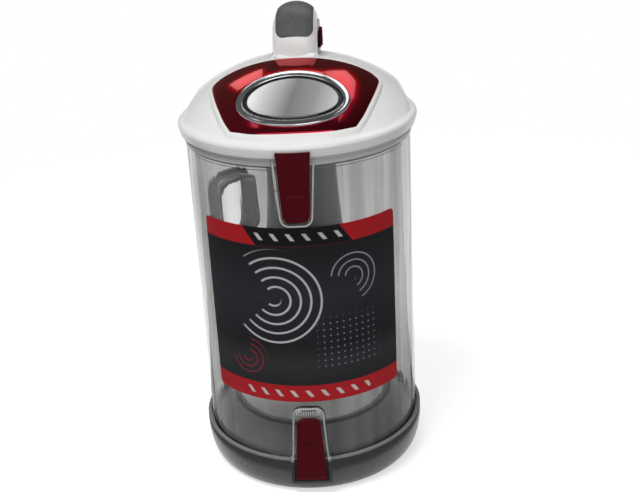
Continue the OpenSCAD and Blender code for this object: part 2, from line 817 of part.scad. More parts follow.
module base_door() {
  floor_z = groove_z - door_wall;
  latch_y = catch_seat_r;
  border_x = door_latch_end_x + notch_gap;
  notch_z = door_latch_end_z - notch_gap;
  color([0.27, 0.28, 0.29])
    difference() {
      union() {
        rotate_extrude()
          polygon(concat(
            [for (a = [0 : 10 : 90]) skin(a, 0)],
            [
              [door_r, rim_z],
              [groove_r, rim_z],
              [groove_r, groove_z],
              [tongue_r + door_wall / 4, groove_z],
              [tongue_r, tongue_z]
            ],
            [
              [tongue_r - door_wall * 0.7, tongue_z + overrun],
              [plateau_r + overrun, plateau_z - overrun],
              [plateau_r, plateau_z],
              [plateau_r - plateau_edge, plateau_z],
              [plateau_r - plateau_edge, plate_seat_z],
              [0, plate_seat_z],
              [0, plate_seat_z - door_wall],
              [outlet_r, plate_seat_z - door_wall],
              [outlet_r, 0],
              [outlet_wall_r, 0],
              [outlet_wall_r, plate_seat_z - door_wall],
              [tongue_r - door_wall * 2, tongue_z - door_wall],
              [tongue_r - door_wall, floor_z],
              [groove_r - overrun / 2, floor_z]
            ],
            [for (a = [70 : -10 : 0]) skin(a, door_wall)]
          ));
        for (i = [0 : door_ribs - 1])
          rotate([0, 0, 360 * (i + 0.5) / door_ribs])
            translate([0, door_wall / 4, 0])
              rotate([90, 0, 0])
                linear_extrude(door_wall / 2)
                  polygon([
                    [outlet_wall_r - overrun, door_wall],
                    [outlet_wall_r - overrun, plate_seat_z - door_wall],
                    [tongue_r - door_wall * 2, tongue_z - door_wall / 2],
                    [tongue_r - door_wall, floor_z + overrun],
                    [groove_r - overrun / 2, floor_z + overrun],
                    skin(60, overrun),
                    [foot_r - overrun, door_wall]
                  ]);
        intersection() {
          front_extrude(cup_r + bezel_out)
            polygon([
              [-border_x - bezel_t, notch_z - bezel_t],
              [border_x + bezel_t, notch_z - bezel_t],
              [border_x + bezel_t, rim_z],
              [-border_x - bezel_t, rim_z]
            ]);
          ring(door_r * 1.1, groove_r, 0, rim_z);
        }
        side_extrude(knuckle_x)
          polygon([
            [catch_seat_r, door_pin_z - knuckle_r * 3],
            [catch_seat_r, door_pin_z + knuckle_r / 2],
            [hinge_y, door_pin_z + knuckle_r],
            [hinge_y, door_pin_z - knuckle_r]
          ]);
        cross_bore(hinge_y, door_pin_z, knuckle_r, knuckle_x);
      }
      cross_bore(hinge_y, door_pin_z, hinge_pin_r + pivot_gap, knuckle_x * 2);
      translate([0, tube_y, plate_seat_z - door_wall - overrun])
        cylinder(h = door_wall + 2 * overrun, r = tube_hole_r);
      difference() {
        translate([-border_x, -door_r * 1.1, notch_z]) cube([2 * border_x, door_r, rim_z]);
        translate([0, 0, notch_z - overrun]) cylinder(h = rim_z + 2 * overrun, r = latch_y);
        intersection() {
          ring(latch_y + catch_out, cup_r, door_catch_z, door_catch_z + catch_h);
          translate([-catch_x, -door_r * 1.1, door_catch_z]) cube([2 * catch_x, door_r, catch_h]);
        }
      }
    }
}

module door_seal() {
  color([0.06, 0.06, 0.07])
    ring(groove_r - fit_gap, tongue_r + door_wall / 4 + fit_gap, groove_z, groove_z + door_seal_h);
}

module floor_plate() {
  color([0.5, 0.51, 0.52])
    difference() {
      translate([0, 0, plate_seat_z]) cylinder(h = floor_plate_t, r = plate_r);
      translate([0, tube_y, plate_seat_z - overrun])
        cylinder(h = floor_plate_t + 2 * overrun, r = tube_hole_r);
    }
}

module floor_joint_ring() {
  color([0.05, 0.05, 0.06])
    ring(plate_r + floor_joint - fit_gap, plate_r + fit_gap, plate_seat_z, plateau_z);
}

module outlet_seal() {
  color([0.06, 0.06, 0.07])
    translate([0, tube_y, 0])
      ring(tube_r + tube_wall, tube_hole_r, plateau_z, tube_foot_z - seal_gap);
}

module hinge_pin(z) {
  color([0.72, 0.72, 0.74]) cross_bore(hinge_y, z, hinge_pin_r, ear_x + ear_w);
}

module door_hinge_pin() {
  hinge_pin(door_pin_z);
}

module lid_hinge_pin() {
  hinge_pin(lid_pin_z);
}

// Lid

// Column of the lid's outline with a tapered edge, shrunk by inset
module lid_column(inset, below) {
  edge_r = lid_r - skirt_draft - inset;
  translate([0, 0, lid_edge_z]) cylinder(h = skirt_edge_h, r1 = edge_r, r2 = lid_r - inset);
  translate([0, 0, lid_edge_z + skirt_edge_h]) cylinder(h = dome_h, r = lid_r - inset);
  if (below > 0)
    translate([0, 0, lid_edge_z - below]) cylinder(h = below, r = edge_r);
}

// Ring-shaped rim with a rounded outer edge that the dome rises from
module lid_rim() {
  bend_from_z = lid_edge_z + skirt_edge_h;
  foot_in = lid_r - rim_w - rim_round;
  rotate_extrude()
    polygon(concat(
      [[foot_in, lid_edge_z], [lid_r - skirt_draft, lid_edge_z]],
      arc([lid_r - rim_round, bend_from_z], rim_round, 0, 90, 6),
      [[lid_r - rim_w, bend_from_z + rim_round], [foot_in, bend_from_z]]
    ));
}

function panel_outline() = [
  [-panel_front_x * 0.5, -panel_front_y + panel_round / 3],
  [0, -panel_front_y],
  [panel_front_x * 0.5, -panel_front_y + panel_round / 3],
  [panel_front_x, -panel_front_y + panel_round],
  [panel_corner_x, -panel_corner_y],
  [(panel_corner_x + panel_wide_x) / 2 + panel_round / 3, -(panel_corner_y - panel_wide_y) / 2],
  [panel_wide_x, panel_wide_y],
  [panel_back_x, panel_back_y],
  [panel_back_x * 0.5, (panel_back_y + panel_tail_y * 2) / 3],
  [0, panel_tail_y],
  [-panel_back_x * 0.5, (panel_back_y + panel_tail_y * 2) / 3],
  [-panel_back_x, panel_back_y],
  [-panel_wide_x, panel_wide_y],
  [-(panel_corner_x + panel_wide_x) / 2 - panel_round / 3, -(panel_corner_y - panel_wide_y) / 2],
  [-panel_corner_x, -panel_corner_y],
  [-panel_front_x, -panel_front_y + panel_round]
];

// The panel's outline with its corners rounded, grown by grow
module panel_shape(grow) {
  offset(r = panel_round + grow, $fn = 48) offset(delta = -panel_round) polygon(panel_outline());
}

module screw_places() {
  for (leg = screw_legs, x = [-screw_x, screw_x])
    translate([x, leg[0], 0]) children();
}

module plinth(leg_y, s, top_z) {
  depth = crown_t + belly_t + 2 * plinth_edge;
  width = 2 * (belly_half_w + plinth_edge);
  mid_y = leg_y + s * (crown_t - belly_t) / 2;
  translate([0, 0, top_z - boss_h])
    linear_extrude(boss_h)
      polygon(round_rect([0, mid_y], [width, depth], crown_t / 2));
}

module lid_shell() {
  notch_x = lid_latch_top_x + notch_gap;
  notch_top_z = lid_latch_top_z + notch_gap;
  color([0.86, 0.86, 0.85])
    difference() {
      union() {
        difference() {
          union() {
            intersection() {
              dome(0);
              lid_column(0, 0);
            }
            lid_rim();
            dome_layer(-lid_wall, lip_rise)
              panel_shape(lip_w);
            intersection() {
              union() {
                plinth(leg_front_y, -1, front_foot_z);
                plinth(leg_rear_y, 1, rear_foot_z);
              }
              cylinder(h = front_foot_z + boss_h, r = lid_r);
            }
          }
          intersection() {
            dome(-lid_wall);
            lid_column(lid_wall, overrun);
          }
        }
        intersection() {
          ring(catch_seat_r + overrun, catch_seat_r - skirt_draft, lid_edge_z, notch_top_z + lid_wall);
          translate([-notch_x - lid_wall, -lid_r * 1.1, 0])
            cube([2 * (notch_x + lid_wall), lid_r, dome_top_z]);
        }
        intersection() {
          screw_places() translate([0, 0, front_foot_z - boss_h * 2]) cylinder(h = boss_h * 2, r = boss_r);
          dome(-lid_wall / 2);
        }
        side_extrude(knuckle_x)
          polygon([
            [catch_seat_r, lid_pin_z - knuckle_r / 2],
            [catch_seat_r, lid_pin_z + knuckle_r * 4],
            [hinge_y, lid_pin_z + knuckle_r],
            [hinge_y, lid_pin_z - knuckle_r]
          ]);
        cross_bore(hinge_y, lid_pin_z, knuckle_r, knuckle_x);
      }
      cross_bore(hinge_y, lid_pin_z, hinge_pin_r + pivot_gap, knuckle_x * 2);
      screw_places() translate([0, 0, lid_edge_z]) cylinder(h = front_foot_z, r = screw_r + pivot_gap);
      difference() {
        translate([-notch_x, -lid_r * 1.1, lid_edge_z - overrun])
          cube([2 * notch_x, lid_r, notch_top_z - lid_edge_z + overrun]);
        cylinder(h = dome_top_z, r = catch_seat_r);
        intersection() {
          ring(catch_seat_r + catch_out, cup_r, lid_catch_z, lid_catch_z + catch_h);
          translate([-catch_x, -lid_r * 1.1, lid_catch_z]) cube([2 * catch_x, lid_r, catch_h]);
        }
      }
    }
}

module lid_plug() {
  seat_z = cup_top_z + lid_seal_h;
  plug_r = cup_bore_r - plug_gap;
  color([0.78, 0.78, 0.77])
    union() {
      ring(plug_r, plug_r - plug_wall, cup_top_z - plug_h, seat_z + plug_lip_t);
      ring(cup_r - lid_seal_h, plug_r - plug_wall, seat_z, seat_z + plug_lip_t);
    }
}

module lid_seal() {
  color([0.07, 0.07, 0.08])
    ring(cup_r - lid_seal_h, cup_bore_r + fit_gap, cup_top_z + seal_gap, cup_top_z + lid_seal_h);
}

// Trim panel and badge

module trim_panel() {
  color([0.55, 0.02, 0.06])
    union() {
      dome_layer(lip_rise, panel_rise - panel_bevel / 2) panel_shape(0);
      dome_layer(lip_rise, panel_rise) panel_shape(-panel_bevel);
    }
}

// Oval outline that leans back with the dome, shrunk by inset
module badge_layer(low, high, outer_inset, inner_inset) {
  slope = asin((badge_y + dome_back) / dome_ry);
  outer = [badge_rx - outer_inset, badge_ry - outer_inset];
  difference() {
    intersection() {
      dome(high);
      badge_column(outer, slope);
    }
    dome(low);
    if (inner_inset > 0)
      badge_column([badge_rx - inner_inset, badge_ry - inner_inset], slope);
  }
}

module badge_column(size, slope) {
  mid_z = dome_top_z - dome_ry * (1 - cos(slope));
  translate([0, -badge_y, mid_z])
    rotate([slope, 0, 0])
      translate([0, 0, -badge_ry])
        linear_extrude(2 * badge_ry)
          polygon([for (a = [0 : 7.5 : 352.5]) [size[0] * cos(a), size[1] * sin(a)]]);
}

module badge_ring() {
  color([0.85, 0.85, 0.87])
    badge_layer(panel_rise, panel_rise + badge_ring_rise, 0, badge_ring_w);
}

module badge_border() {
  color([0.04, 0.04, 0.045])
    badge_layer(panel_rise, panel_rise + badge_border_rise, badge_ring_w, badge_ring_w + badge_border_w);
}

module badge_plate() {
  color([0.72, 0.73, 0.75])
    badge_layer(panel_rise, panel_rise + badge_plate_rise, badge_ring_w + badge_border_w, 0);
}

// Handle

// Stations of the parting line in one of its bends: [y, z, angle of its normal]
function stations(side, angles) = [
  for (a = angles)
    let (mid_y = side < 0 ? leg_front_y + arch_r : leg_rear_y - arch_r)
      [mid_y + side * arch_r * cos(a), bend_z + arch_r * sin(a), side < 0 ? 180 - a : a]
];

function backwards(list) = [for (i = [len(list) - 1 : -1 : 0]) list[i]];

leg_angles = [0, pad_angle / 2];
top_angles = [for (i = [0 : bend_steps]) pad_angle + (90 - pad_angle) * i / bend_steps];
pad_path = concat(stations(-1, top_angles), stations(1, backwards(top_angles)));
arch_path = concat(
  [[leg_front_y, front_foot_z, 180]],
  stations(-1, leg_angles),
  pad_path,
  stations(1, backwards(leg_angles)),
  [[leg_rear_y, rear_foot_z, 0]]
);

// Point of a section: x across and h out from the parting line
function place(station, p) = [
  p[0],
  station[0] + p[1] * cos(station[2]),
  station[1] + p[1] * sin(station[2])
];

pad_angles = [
  for (i = [0 : section_steps])
    pad_side_angle + (180 - 2 * pad_side_angle) * i / section_steps
];
crown_angles = concat([0, pad_side_angle / 2], pad_angles, [180 - pad_side_angle / 2, 180]);
belly_angles = [for (i = [0 : 2 * section_steps]) 180 + 90 * i / section_steps];
crown_section = [for (a = crown_angles) oval(a, grip_half_w, crown_t, crown_shares)];
belly_section = [for (a = belly_angles) oval(a, belly_half_w, belly_t, belly_shares)];
pad_section = concat(
  [for (a = backwards(pad_angles)) oval(a, grip_half_w, crown_t, crown_shares)],
  [for (a = pad_angles) oval(a, grip_half_w, crown_t, crown_shares) + [0, pad_rise * sin(a)]]
);

module handle_crown() {
  color([0.88, 0.88, 0.87])
    loft([for (s = arch_path) [for (p = crown_section) place(s, p)]]);
}

module handle_belly() {
  color([0.3, 0.03, 0.08])
    difference() {
      loft([for (s = arch_path) [for (p = belly_section) place(s, p)]]);
      for (side = [-1, 1]) {
        tab_solid(side, tab_floor_x, belly_half_w * 2, tab_gap);
        rotate([0, 90 * side, 0])
          translate([-side * tab_z, tab_y, tab_floor_x - tab_spring_len])
            cylinder(h = tab_spring_len + overrun, r = tab_spring_r + tab_gap / 2);
      }
      for (leg = screw_legs, x = [-screw_x, screw_x])
        translate([x, leg[0], leg[1] - overrun])
          cylinder(h = screw_bite + 2 * overrun, r = screw_r + pivot_gap);
    }
}

module grip_pad() {
  color([0.31, 0.32, 0.33])
    loft([for (s = pad_path) [for (p = pad_section) place(s, p)]]);
}

// Release tab's outline between two distances from the middle, grown by grow
module tab_solid(side, near, far, grow) {
  rotate([90, 0, 90])
    translate([0, 0, side > 0 ? near : -far])
      linear_extrude(far - near)
        polygon(round_rect([tab_y, tab_z], [tab_w + 2 * grow, tab_len + 2 * grow], tab_w / 3 + grow));
}

module release_tab(side) {
  color([0.5, 0.03, 0.07])
    tab_solid(side, belly_half_w + tab_out - tab_t, belly_half_w + tab_out, 0);
}

module release_tab_left() {
  release_tab(-1);
}

module release_tab_right() {
  release_tab(1);
}

module tab_spring(side) {
  wire_r = tab_gap;
  color([0.75, 0.75, 0.76])
    translate([side * (tab_floor_x - tab_spring_len), tab_y, tab_z])
      rotate([0, 90 * side, 0])
        coil(tab_spring_r - wire_r, wire_r, tab_spring_len + tab_travel + tab_gap, 6);
}

module tab_spring_left() {
  tab_spring(-1);
}

module tab_spring_right() {
  tab_spring(1);
}

module handle_screws() {
  head_z = front_foot_z - boss_h * 2;
  color([0.6, 0.6, 0.62])
    for (leg = screw_legs, x = [-screw_x, screw_x])
      translate([x, leg[0], head_z]) {
        translate([0, 0, -screw_head_h]) cylinder(h = screw_head_h, r = screw_head_r);
        cylinder(h = leg[1] + screw_bite - head_z, r = screw_r);
      }
}

cup_shell();
inlet_collar();
inlet_seal();
outlet_tube();
shroud();
screen_frame();
screen_hub();
dust_screen();
label();
lid_latch();
lid_latch_pin();
lid_latch_spring();
door_latch();
door_latch_pin();
door_latch_spring();
base_door();
door_seal();
floor_plate();
floor_joint_ring();
outlet_seal();
door_hinge_pin();
lid_shell();
lid_plug();
lid_seal();
lid_hinge_pin();
trim_panel();
badge_ring();
badge_border();
badge_plate();
handle_crown();
handle_belly();
grip_pad();
release_tab_left();
release_tab_right();
tab_spring_left();
tab_spring_right();
handle_screws();
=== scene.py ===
"""Finished looks of a clear dust bin with a domed lid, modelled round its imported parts."""

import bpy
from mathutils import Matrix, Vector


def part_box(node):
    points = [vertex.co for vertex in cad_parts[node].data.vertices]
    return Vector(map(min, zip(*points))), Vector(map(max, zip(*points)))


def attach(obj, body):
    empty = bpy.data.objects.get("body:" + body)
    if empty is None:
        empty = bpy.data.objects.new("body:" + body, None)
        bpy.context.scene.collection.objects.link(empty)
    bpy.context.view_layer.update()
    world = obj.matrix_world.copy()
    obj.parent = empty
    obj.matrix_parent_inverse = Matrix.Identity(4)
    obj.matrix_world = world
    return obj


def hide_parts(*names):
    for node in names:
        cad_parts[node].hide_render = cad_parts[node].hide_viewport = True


bl_info = {
    "name": "Clear Dust Bin",
    "version": (1, 0, 0),
    "blender": (4, 5, 0),
    "location": "View3D > Sidebar > Dust Bin",
    "description": "Models and finishes the lid, handle, latches, door and label of a clear dust bin",
    "category": "Object",
}

import math

import bmesh
import bpy
from bpy.props import FloatProperty, FloatVectorProperty, IntProperty, PointerProperty
from mathutils import Matrix, Vector

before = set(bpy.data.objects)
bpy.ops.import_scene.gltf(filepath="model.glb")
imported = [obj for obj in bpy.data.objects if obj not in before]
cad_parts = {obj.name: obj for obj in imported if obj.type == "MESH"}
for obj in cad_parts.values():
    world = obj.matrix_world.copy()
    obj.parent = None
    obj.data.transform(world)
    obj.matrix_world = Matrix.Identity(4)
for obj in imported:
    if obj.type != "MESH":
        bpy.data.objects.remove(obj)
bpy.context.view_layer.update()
MM = 0.001

# Places that the pieces share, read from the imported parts
CUP_LOW, CUP_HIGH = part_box("cup_shell")
LID_LOW, LID_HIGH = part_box("lid_shell")
LABEL_LOW, LABEL_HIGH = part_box("label")
SHROUD_LOW, SHROUD_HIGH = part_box("shroud")
DOOR_LOW, DOOR_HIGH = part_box("base_door")
LID_LATCH_LOW, LID_LATCH_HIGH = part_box("lid_latch")
DOOR_LATCH_LOW, DOOR_LATCH_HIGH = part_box("door_latch")


# Sizes and colours that a user would change


class LidSizes(bpy.types.PropertyGroup):
    outer_r: FloatProperty(name="Radius", description="Widest radius of the lid", default=0.093, unit="LENGTH")
    edge_r: FloatProperty(
        name="Edge radius", description="Radius at the skirt's lower edge", default=0.0913, unit="LENGTH"
    )
    taper_h: FloatProperty(
        name="Taper height", description="Height of the skirt's tapered part", default=0.0065, unit="LENGTH"
    )
    wall: FloatProperty(name="Wall", description="Thickness of the lid", default=0.0024, unit="LENGTH")
    rim_w: FloatProperty(name="Rim width", description="Width of the raised rim", default=0.006, unit="LENGTH")
    rim_round: FloatProperty(
        name="Rim rounding", description="Rounding of the rim's outer edge", default=0.003, unit="LENGTH"
    )
    shoulder_r: FloatProperty(
        name="Shoulder radius", description="Radius where the dome's shoulders meet the rim", default=0.0885, unit="LENGTH"
    )
    dome_top: FloatProperty(name="Dome top", description="Height of the dome's top", default=0.331, unit="LENGTH")
    dome_back: FloatProperty(
        name="Dome offset", description="Distance of the dome's top behind the axis", default=0.025, unit="LENGTH"
    )
    dome_rx: FloatProperty(
        name="Cross radius", description="Radius of the dome from side to side", default=0.138, unit="LENGTH"
    )
    dome_ry: FloatProperty(
        name="Long radius", description="Radius of the dome from front to back", default=0.180, unit="LENGTH"
    )


class PanelSizes(bpy.types.PropertyGroup):
    rise: FloatProperty(name="Rise", description="Height of the panel above the lid", default=0.0022, unit="LENGTH")
    bead_w: FloatProperty(
        name="Bead width", description="Width of the white bead round the panel", default=0.0030, unit="LENGTH"
    )
    bead_rise: FloatProperty(
        name="Bead rise", description="Height of the bead above the lid", default=0.0015, unit="LENGTH"
    )
    centre_y: FloatProperty(
        name="Middle", description="Place from which the panel's rings spread", default=-0.028, unit="LENGTH"
    )
    corner_r: FloatProperty(
        name="Corner radius", description="Rounding of the panel's corners", default=0.005, unit="LENGTH"
    )


class BadgeSizes(bpy.types.PropertyGroup):
    middle_y: FloatProperty(name="Middle", description="Place of the badge's middle", default=-0.0468, unit="LENGTH")
    half_w: FloatProperty(name="Half width", description="Half width of the bright ring", default=0.0422, unit="LENGTH")
    half_l: FloatProperty(
        name="Half length", description="Half length of the bright ring along the slope", default=0.0319, unit="LENGTH"
    )
    ring_w: FloatProperty(name="Ring width", description="Width of the bright ring", default=0.0052, unit="LENGTH")
    border_w: FloatProperty(
        name="Border width", description="Width of the dark border inside the ring", default=0.0032, unit="LENGTH"
    )
    rear_width: FloatProperty(
        name="Rear width", description="How much wider the ring is at its rear", default=0.0028, unit="LENGTH"
    )
    ring_rise: FloatProperty(
        name="Ring rise", description="Height of the ring above the panel", default=0.0018, unit="LENGTH"
    )
    plate_rise: FloatProperty(
        name="Plate rise", description="Height of the plate above the panel", default=0.0011, unit="LENGTH"
    )


class FinishColours(bpy.types.PropertyGroup):
    white: FloatVectorProperty(
        name="White", description="Lid and handle", default=(0.86, 0.86, 0.85), subtype="COLOR", size=3
    )
    red_metal: FloatVectorProperty(
        name="Red metal", description="Trim panel", default=(0.42, 0.0, 0.022), subtype="COLOR", size=3
    )
    latch_red: FloatVectorProperty(
        name="Latch red", description="Latches and tabs", default=(0.075, 0.001, 0.005), subtype="COLOR", size=3
    )
    door_grey: FloatVectorProperty(
        name="Door grey", description="Emptying door", default=(0.040, 0.042, 0.0435), subtype="COLOR", size=3
    )
    plate_grey: FloatVectorProperty(
        name="Plate grey", description="Dust floor plate", default=(0.82, 0.82, 0.83), subtype="COLOR", size=3
    )
    grip_grey: FloatVectorProperty(
        name="Grip grey", description="Soft grip", default=(0.083, 0.088, 0.086), subtype="COLOR", size=3
    )
    smoke: FloatVectorProperty(
        name="Clear tint", description="Tint of the clear wall", default=(0.60, 0.60, 0.595), subtype="COLOR", size=3
    )
    label_red: FloatVectorProperty(
        name="Label red", description="Bands of the label", default=(0.42, 0.008, 0.014), subtype="COLOR", size=3
    )


class StageSettings(bpy.types.PropertyGroup):
    lens: FloatProperty(name="Lens", description="Focal length on a 36 mm frame", default=61.04)
    eye: FloatVectorProperty(
        name="Camera place",
        description="Where the camera stands",
        default=(0.045887, -0.811006, 0.521580),
        subtype="TRANSLATION",
        size=3,
    )
    right: FloatVectorProperty(
        name="Camera right", description="Its right-hand axis", default=(0.99848631, 0.0232926, -0.0498252), size=3
    )
    back: FloatVectorProperty(
        name="Camera back", description="The axis away from its view", default=(0.04090562, -0.9200662, 0.3896215), size=3
    )
    key_power: FloatProperty(name="Key power", description="Power of the key lamp", default=15.0, unit="POWER")
    fill_power: FloatProperty(name="Fill power", description="Power of the fill lamp", default=5.0, unit="POWER")


# Small helpers for modelling by operators


def only(piece):
    """Selects one object and makes it active."""
    if bpy.context.object and bpy.context.object.mode != "OBJECT":
        bpy.ops.object.mode_set(mode="OBJECT")
    bpy.ops.object.select_all(action="DESELECT")
    piece.select_set(True)
    bpy.context.view_layer.objects.active = piece


def edit_all(piece):
    """Opens a piece in edit mode with everything selected."""
    only(piece)
    bpy.ops.object.mode_set(mode="EDIT")
    bpy.ops.mesh.select_all(action="SELECT")


def leave_edit():
    bpy.ops.object.mode_set(mode="OBJECT")


def close_mesh(piece, gap=0.00001):
    """Merges doubles and turns the faces outwards."""
    edit_all(piece)
    bpy.ops.mesh.remove_doubles(threshold=gap)
    bpy.ops.mesh.normals_make_consistent(inside=False)
    leave_edit()


def apply_place(piece):
    """Moves a piece's place, turn and size into its mesh."""
    only(piece)
    bpy.ops.object.transform_apply(location=True, rotation=True, scale=True)


def smooth(piece, angle=35.0):
    only(piece)
    bpy.ops.object.shade_smooth_by_angle(angle=math.radians(angle))


def bevel(piece, width, segments=3, angle=30.0):
    """Rounds a piece's sharp edges."""
    only(piece)
    modifier = piece.modifiers.new("edge rounding", "BEVEL")
    modifier.width = width
    modifier.segments = segments
    modifier.limit_method = "ANGLE"
    modifier.angle_limit = math.radians(angle)
    modifier.use_clamp_overlap = True
    bpy.ops.object.modifier_apply(modifier=modifier.name)


def soften(piece, levels=2, crease_angle=50.0):
    """Subdivides a piece, with its sharp edges kept crisp."""
    only(piece)
    crease_sharp_edges(piece, crease_angle)
    modifier = piece.modifiers.new("smooth form", "SUBSURF")
    modifier.levels = levels
    modifier.render_levels = levels
    bpy.ops.object.modifier_apply(modifier=modifier.name)


def crease_sharp_edges(piece, angle, crease=0.9):
    edit = bmesh.new()
    edit.from_mesh(piece.data)
    layer = edit.edges.layers.float.get("crease_edge") or edit.edges.layers.float.new("crease_edge")
    for edge in edit.edges:
        if len(edge.link_faces) == 2 and edge.calc_face_angle(0.0) > math.radians(angle):
            edge[layer] = crease
    edit.to_mesh(piece.data)
    edit.free()


def join(name, pieces):
    """Joins several objects into one."""
    only(pieces[0])
    for piece in pieces[1:]:
        piece.select_set(True)
    bpy.ops.object.join()
    pieces[0].name = name
    return pieces[0]


def node_copy(node, name):
    """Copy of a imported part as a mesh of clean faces."""
    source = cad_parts[node]
    piece = bpy.data.objects.new(name, source.data.copy())
    bpy.context.scene.collection.objects.link(piece)
    piece.data.materials.clear()
    close_mesh(piece)
    edit_all(piece)
    bpy.ops.mesh.dissolve_limited(angle_limit=math.radians(0.6))
    leave_edit()
    return piece


def spin_profile(name, profile, steps=160):
    """Turns a profile of (radius, height) points round the bin's axis."""
    mesh = bpy.data.meshes.new(name)
    points = [(r, 0.0, z) for r, z in profile]
    mesh.from_pydata(points, [(i, i + 1) for i in range(len(points) - 1)], [])
    piece = bpy.data.objects.new(name, mesh)
    bpy.context.scene.collection.objects.link(piece)
    edit_all(piece)
    bpy.ops.mesh.spin(steps=steps, angle=math.tau, center=(0, 0, 0), axis=(0, 0, 1))
    leave_edit()
    close_mesh(piece)
    return piece


def rounded_box(name, low, high, radius, segments=4):
    """Block with rounded edges between two corners."""
    low, high = Vector(low), Vector(high)
    bpy.ops.object.select_all(action="DESELECT")
    bpy.ops.mesh.primitive_cube_add(size=1, location=(low + high) / 2)
    piece = bpy.context.object
    piece.name = name
    piece.scale = high - low
    apply_place(piece)
    bevel(piece, radius, segments)
    return piece


def cylinder_between(name, start, end, radius, sides=48):
    """Rod with rounded rims between two points."""
    start, end = Vector(start), Vector(end)
    bpy.ops.object.select_all(action="DESELECT")
    bpy.ops.mesh.primitive_cylinder_add(
        vertices=sides,
        radius=radius,
        depth=(end - start).length,
        location=(start + end) / 2,
        rotation=(end - start).to_track_quat("Z", "Y").to_euler(),
    )
    piece = bpy.context.object
    piece.name = name
    apply_place(piece)
    bevel(piece, radius * 0.12, 2)
    return piece


def cut(piece, cutter):
    """Takes the cutter's shape out of a piece and removes the cutter."""
    only(piece)
    modifier = piece.modifiers.new("cut", "BOOLEAN")
    modifier.operation = "DIFFERENCE"
    modifier.solver = "EXACT"
    modifier.object = cutter
    bpy.ops.object.modifier_apply(modifier=modifier.name)
    bpy.data.objects.remove(cutter)


def place(piece, body, slot, material, *nodes):
    """Gives a finished piece its finish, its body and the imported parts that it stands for."""
    piece.data.materials.clear()
    piece.data.materials.append(material)
    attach(piece, body)
    if nodes:
        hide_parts(*nodes)
    return piece


def dress(node, material):
    """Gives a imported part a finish."""
    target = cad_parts[node]
    target.data.materials.clear()
    target.data.materials.append(material)


# Surface effects that several finishes share


def new_group(name, inputs, outputs):
    """Node group with (name, socket, default) inputs and (name, socket) outputs."""
    group = bpy.data.node_groups.new(name, "ShaderNodeTree")
    for label, kind, default in inputs:
        socket = group.interface.new_socket(label, in_out="INPUT", socket_type=kind)
        socket.default_value = default
    for label, kind in outputs:
        group.interface.new_socket(label, in_out="OUTPUT", socket_type=kind)
    start = group.nodes.new("NodeGroupInput")
    end = group.nodes.new("NodeGroupOutput")
    return group, start, end


def add(tree, kind, **values):
    """Adds a node and sets its properties and sockets by name."""
    node = tree.nodes.new(kind)
    for key, value in values.items():
        if hasattr(node, key):
            setattr(node, key, value)
        else:
            node.inputs[key.replace("_", " ").title()].default_value = value
    return node


def maths(tree, operation, first, second=None, clamp=False):
    """Maths node fed by sockets or numbers."""
    node = add(tree, "ShaderNodeMath", operation=operation, use_clamp=clamp)
    for index, value in enumerate((first, second)):
        if value is None:
            continue
        if isinstance(value, (int, float)):
            node.inputs[index].default_value = value
        else:
            tree.links.new(value, node.inputs[index])
    return node.outputs[0]


def mixed(tree, factor, first, second):
    """Mix of two colours by a factor."""
    node = add(tree, "ShaderNodeMix", data_type="RGBA")
    sockets = [node.inputs["Factor"], node.inputs[6], node.inputs[7]]
    for socket, value in zip(sockets, (factor, first, second)):
        if isinstance(value, (int, float)):
            socket.default_value = value
        elif isinstance(value, (tuple, list)):
            socket.default_value = tuple(value) + (1.0,) * (4 - len(value))
        else:
            tree.links.new(value, socket)
    return node.outputs[2]


def ramp(tree, factor, stops):
    """Colour ramp with (place, grey or colour) stops."""
    node = add(tree, "ShaderNodeValToRGB")
    band = node.color_ramp
    while len(band.elements) > 1:
        band.elements.remove(band.elements[-1])
    for index, (place_on, tone) in enumerate(stops):
        element = band.elements[0] if index == 0 else band.elements.new(place_on)
        element.position = place_on
        element.color = (tone, tone, tone, 1) if isinstance(tone, (int, float)) else tuple(tone) + (1.0,)
    tree.links.new(factor, node.inputs[0])
    return node.outputs[0]


def band_mask(tree, value, low, high, soft=0.0003):
    """One between two values, nought outside them."""
    rise = add(tree, "ShaderNodeMapRange")
    tree.links.new(value, rise.inputs["Value"])
    rise.inputs["From Min"].default_value = low - soft
    rise.inputs["From Max"].default_value = low + soft
    fall = add(tree, "ShaderNodeMapRange")
    tree.links.new(value, fall.inputs["Value"])
    fall.inputs["From Min"].default_value = high - soft
    fall.inputs["From Max"].default_value = high + soft
    fall.inputs["To Min"].default_value = 1.0
    fall.inputs["To Max"].default_value = 0.0
    return maths(tree, "MULTIPLY", rise.outputs["Result"], fall.outputs["Result"])


def make_grain_group():
    """Fine grain of moulded plastic, with slow drifts of tone."""
    group, start, end = new_group(
        "Moulded Grain",
        [
            ("Vector", "NodeSocketVector", (0, 0, 0)),
            ("Grain Scale", "NodeSocketFloat", 2400.0),
            ("Drift Scale", "NodeSocketFloat", 14.0),
        ],
        [("Height", "NodeSocketFloat"), ("Drift", "NodeSocketFloat"), ("Speck", "NodeSocketFloat")],
    )
    fine = add(group, "ShaderNodeTexNoise", detail=2.0, roughness=0.6)
    slow = add(group, "ShaderNodeTexNoise", detail=3.0, roughness=0.55)
    speck = add(group, "ShaderNodeTexNoise", detail=1.0, roughness=0.5)
    for node, scale in ((fine, "Grain Scale"), (slow, "Drift Scale")):
        group.links.new(start.outputs["Vector"], node.inputs["Vector"])
        group.links.new(start.outputs[scale], node.inputs["Scale"])
    group.links.new(start.outputs["Vector"], speck.inputs["Vector"])
    group.links.new(maths(group, "MULTIPLY", start.outputs["Grain Scale"], 0.25), speck.inputs["Scale"])
    group.links.new(fine.outputs["Fac"], end.inputs["Height"])
    group.links.new(slow.outputs["Fac"], end.inputs["Drift"])
    group.links.new(ramp(group, speck.outputs["Fac"], [(0.62, 0.0), (0.7, 1.0)]), end.inputs["Speck"])
    return group


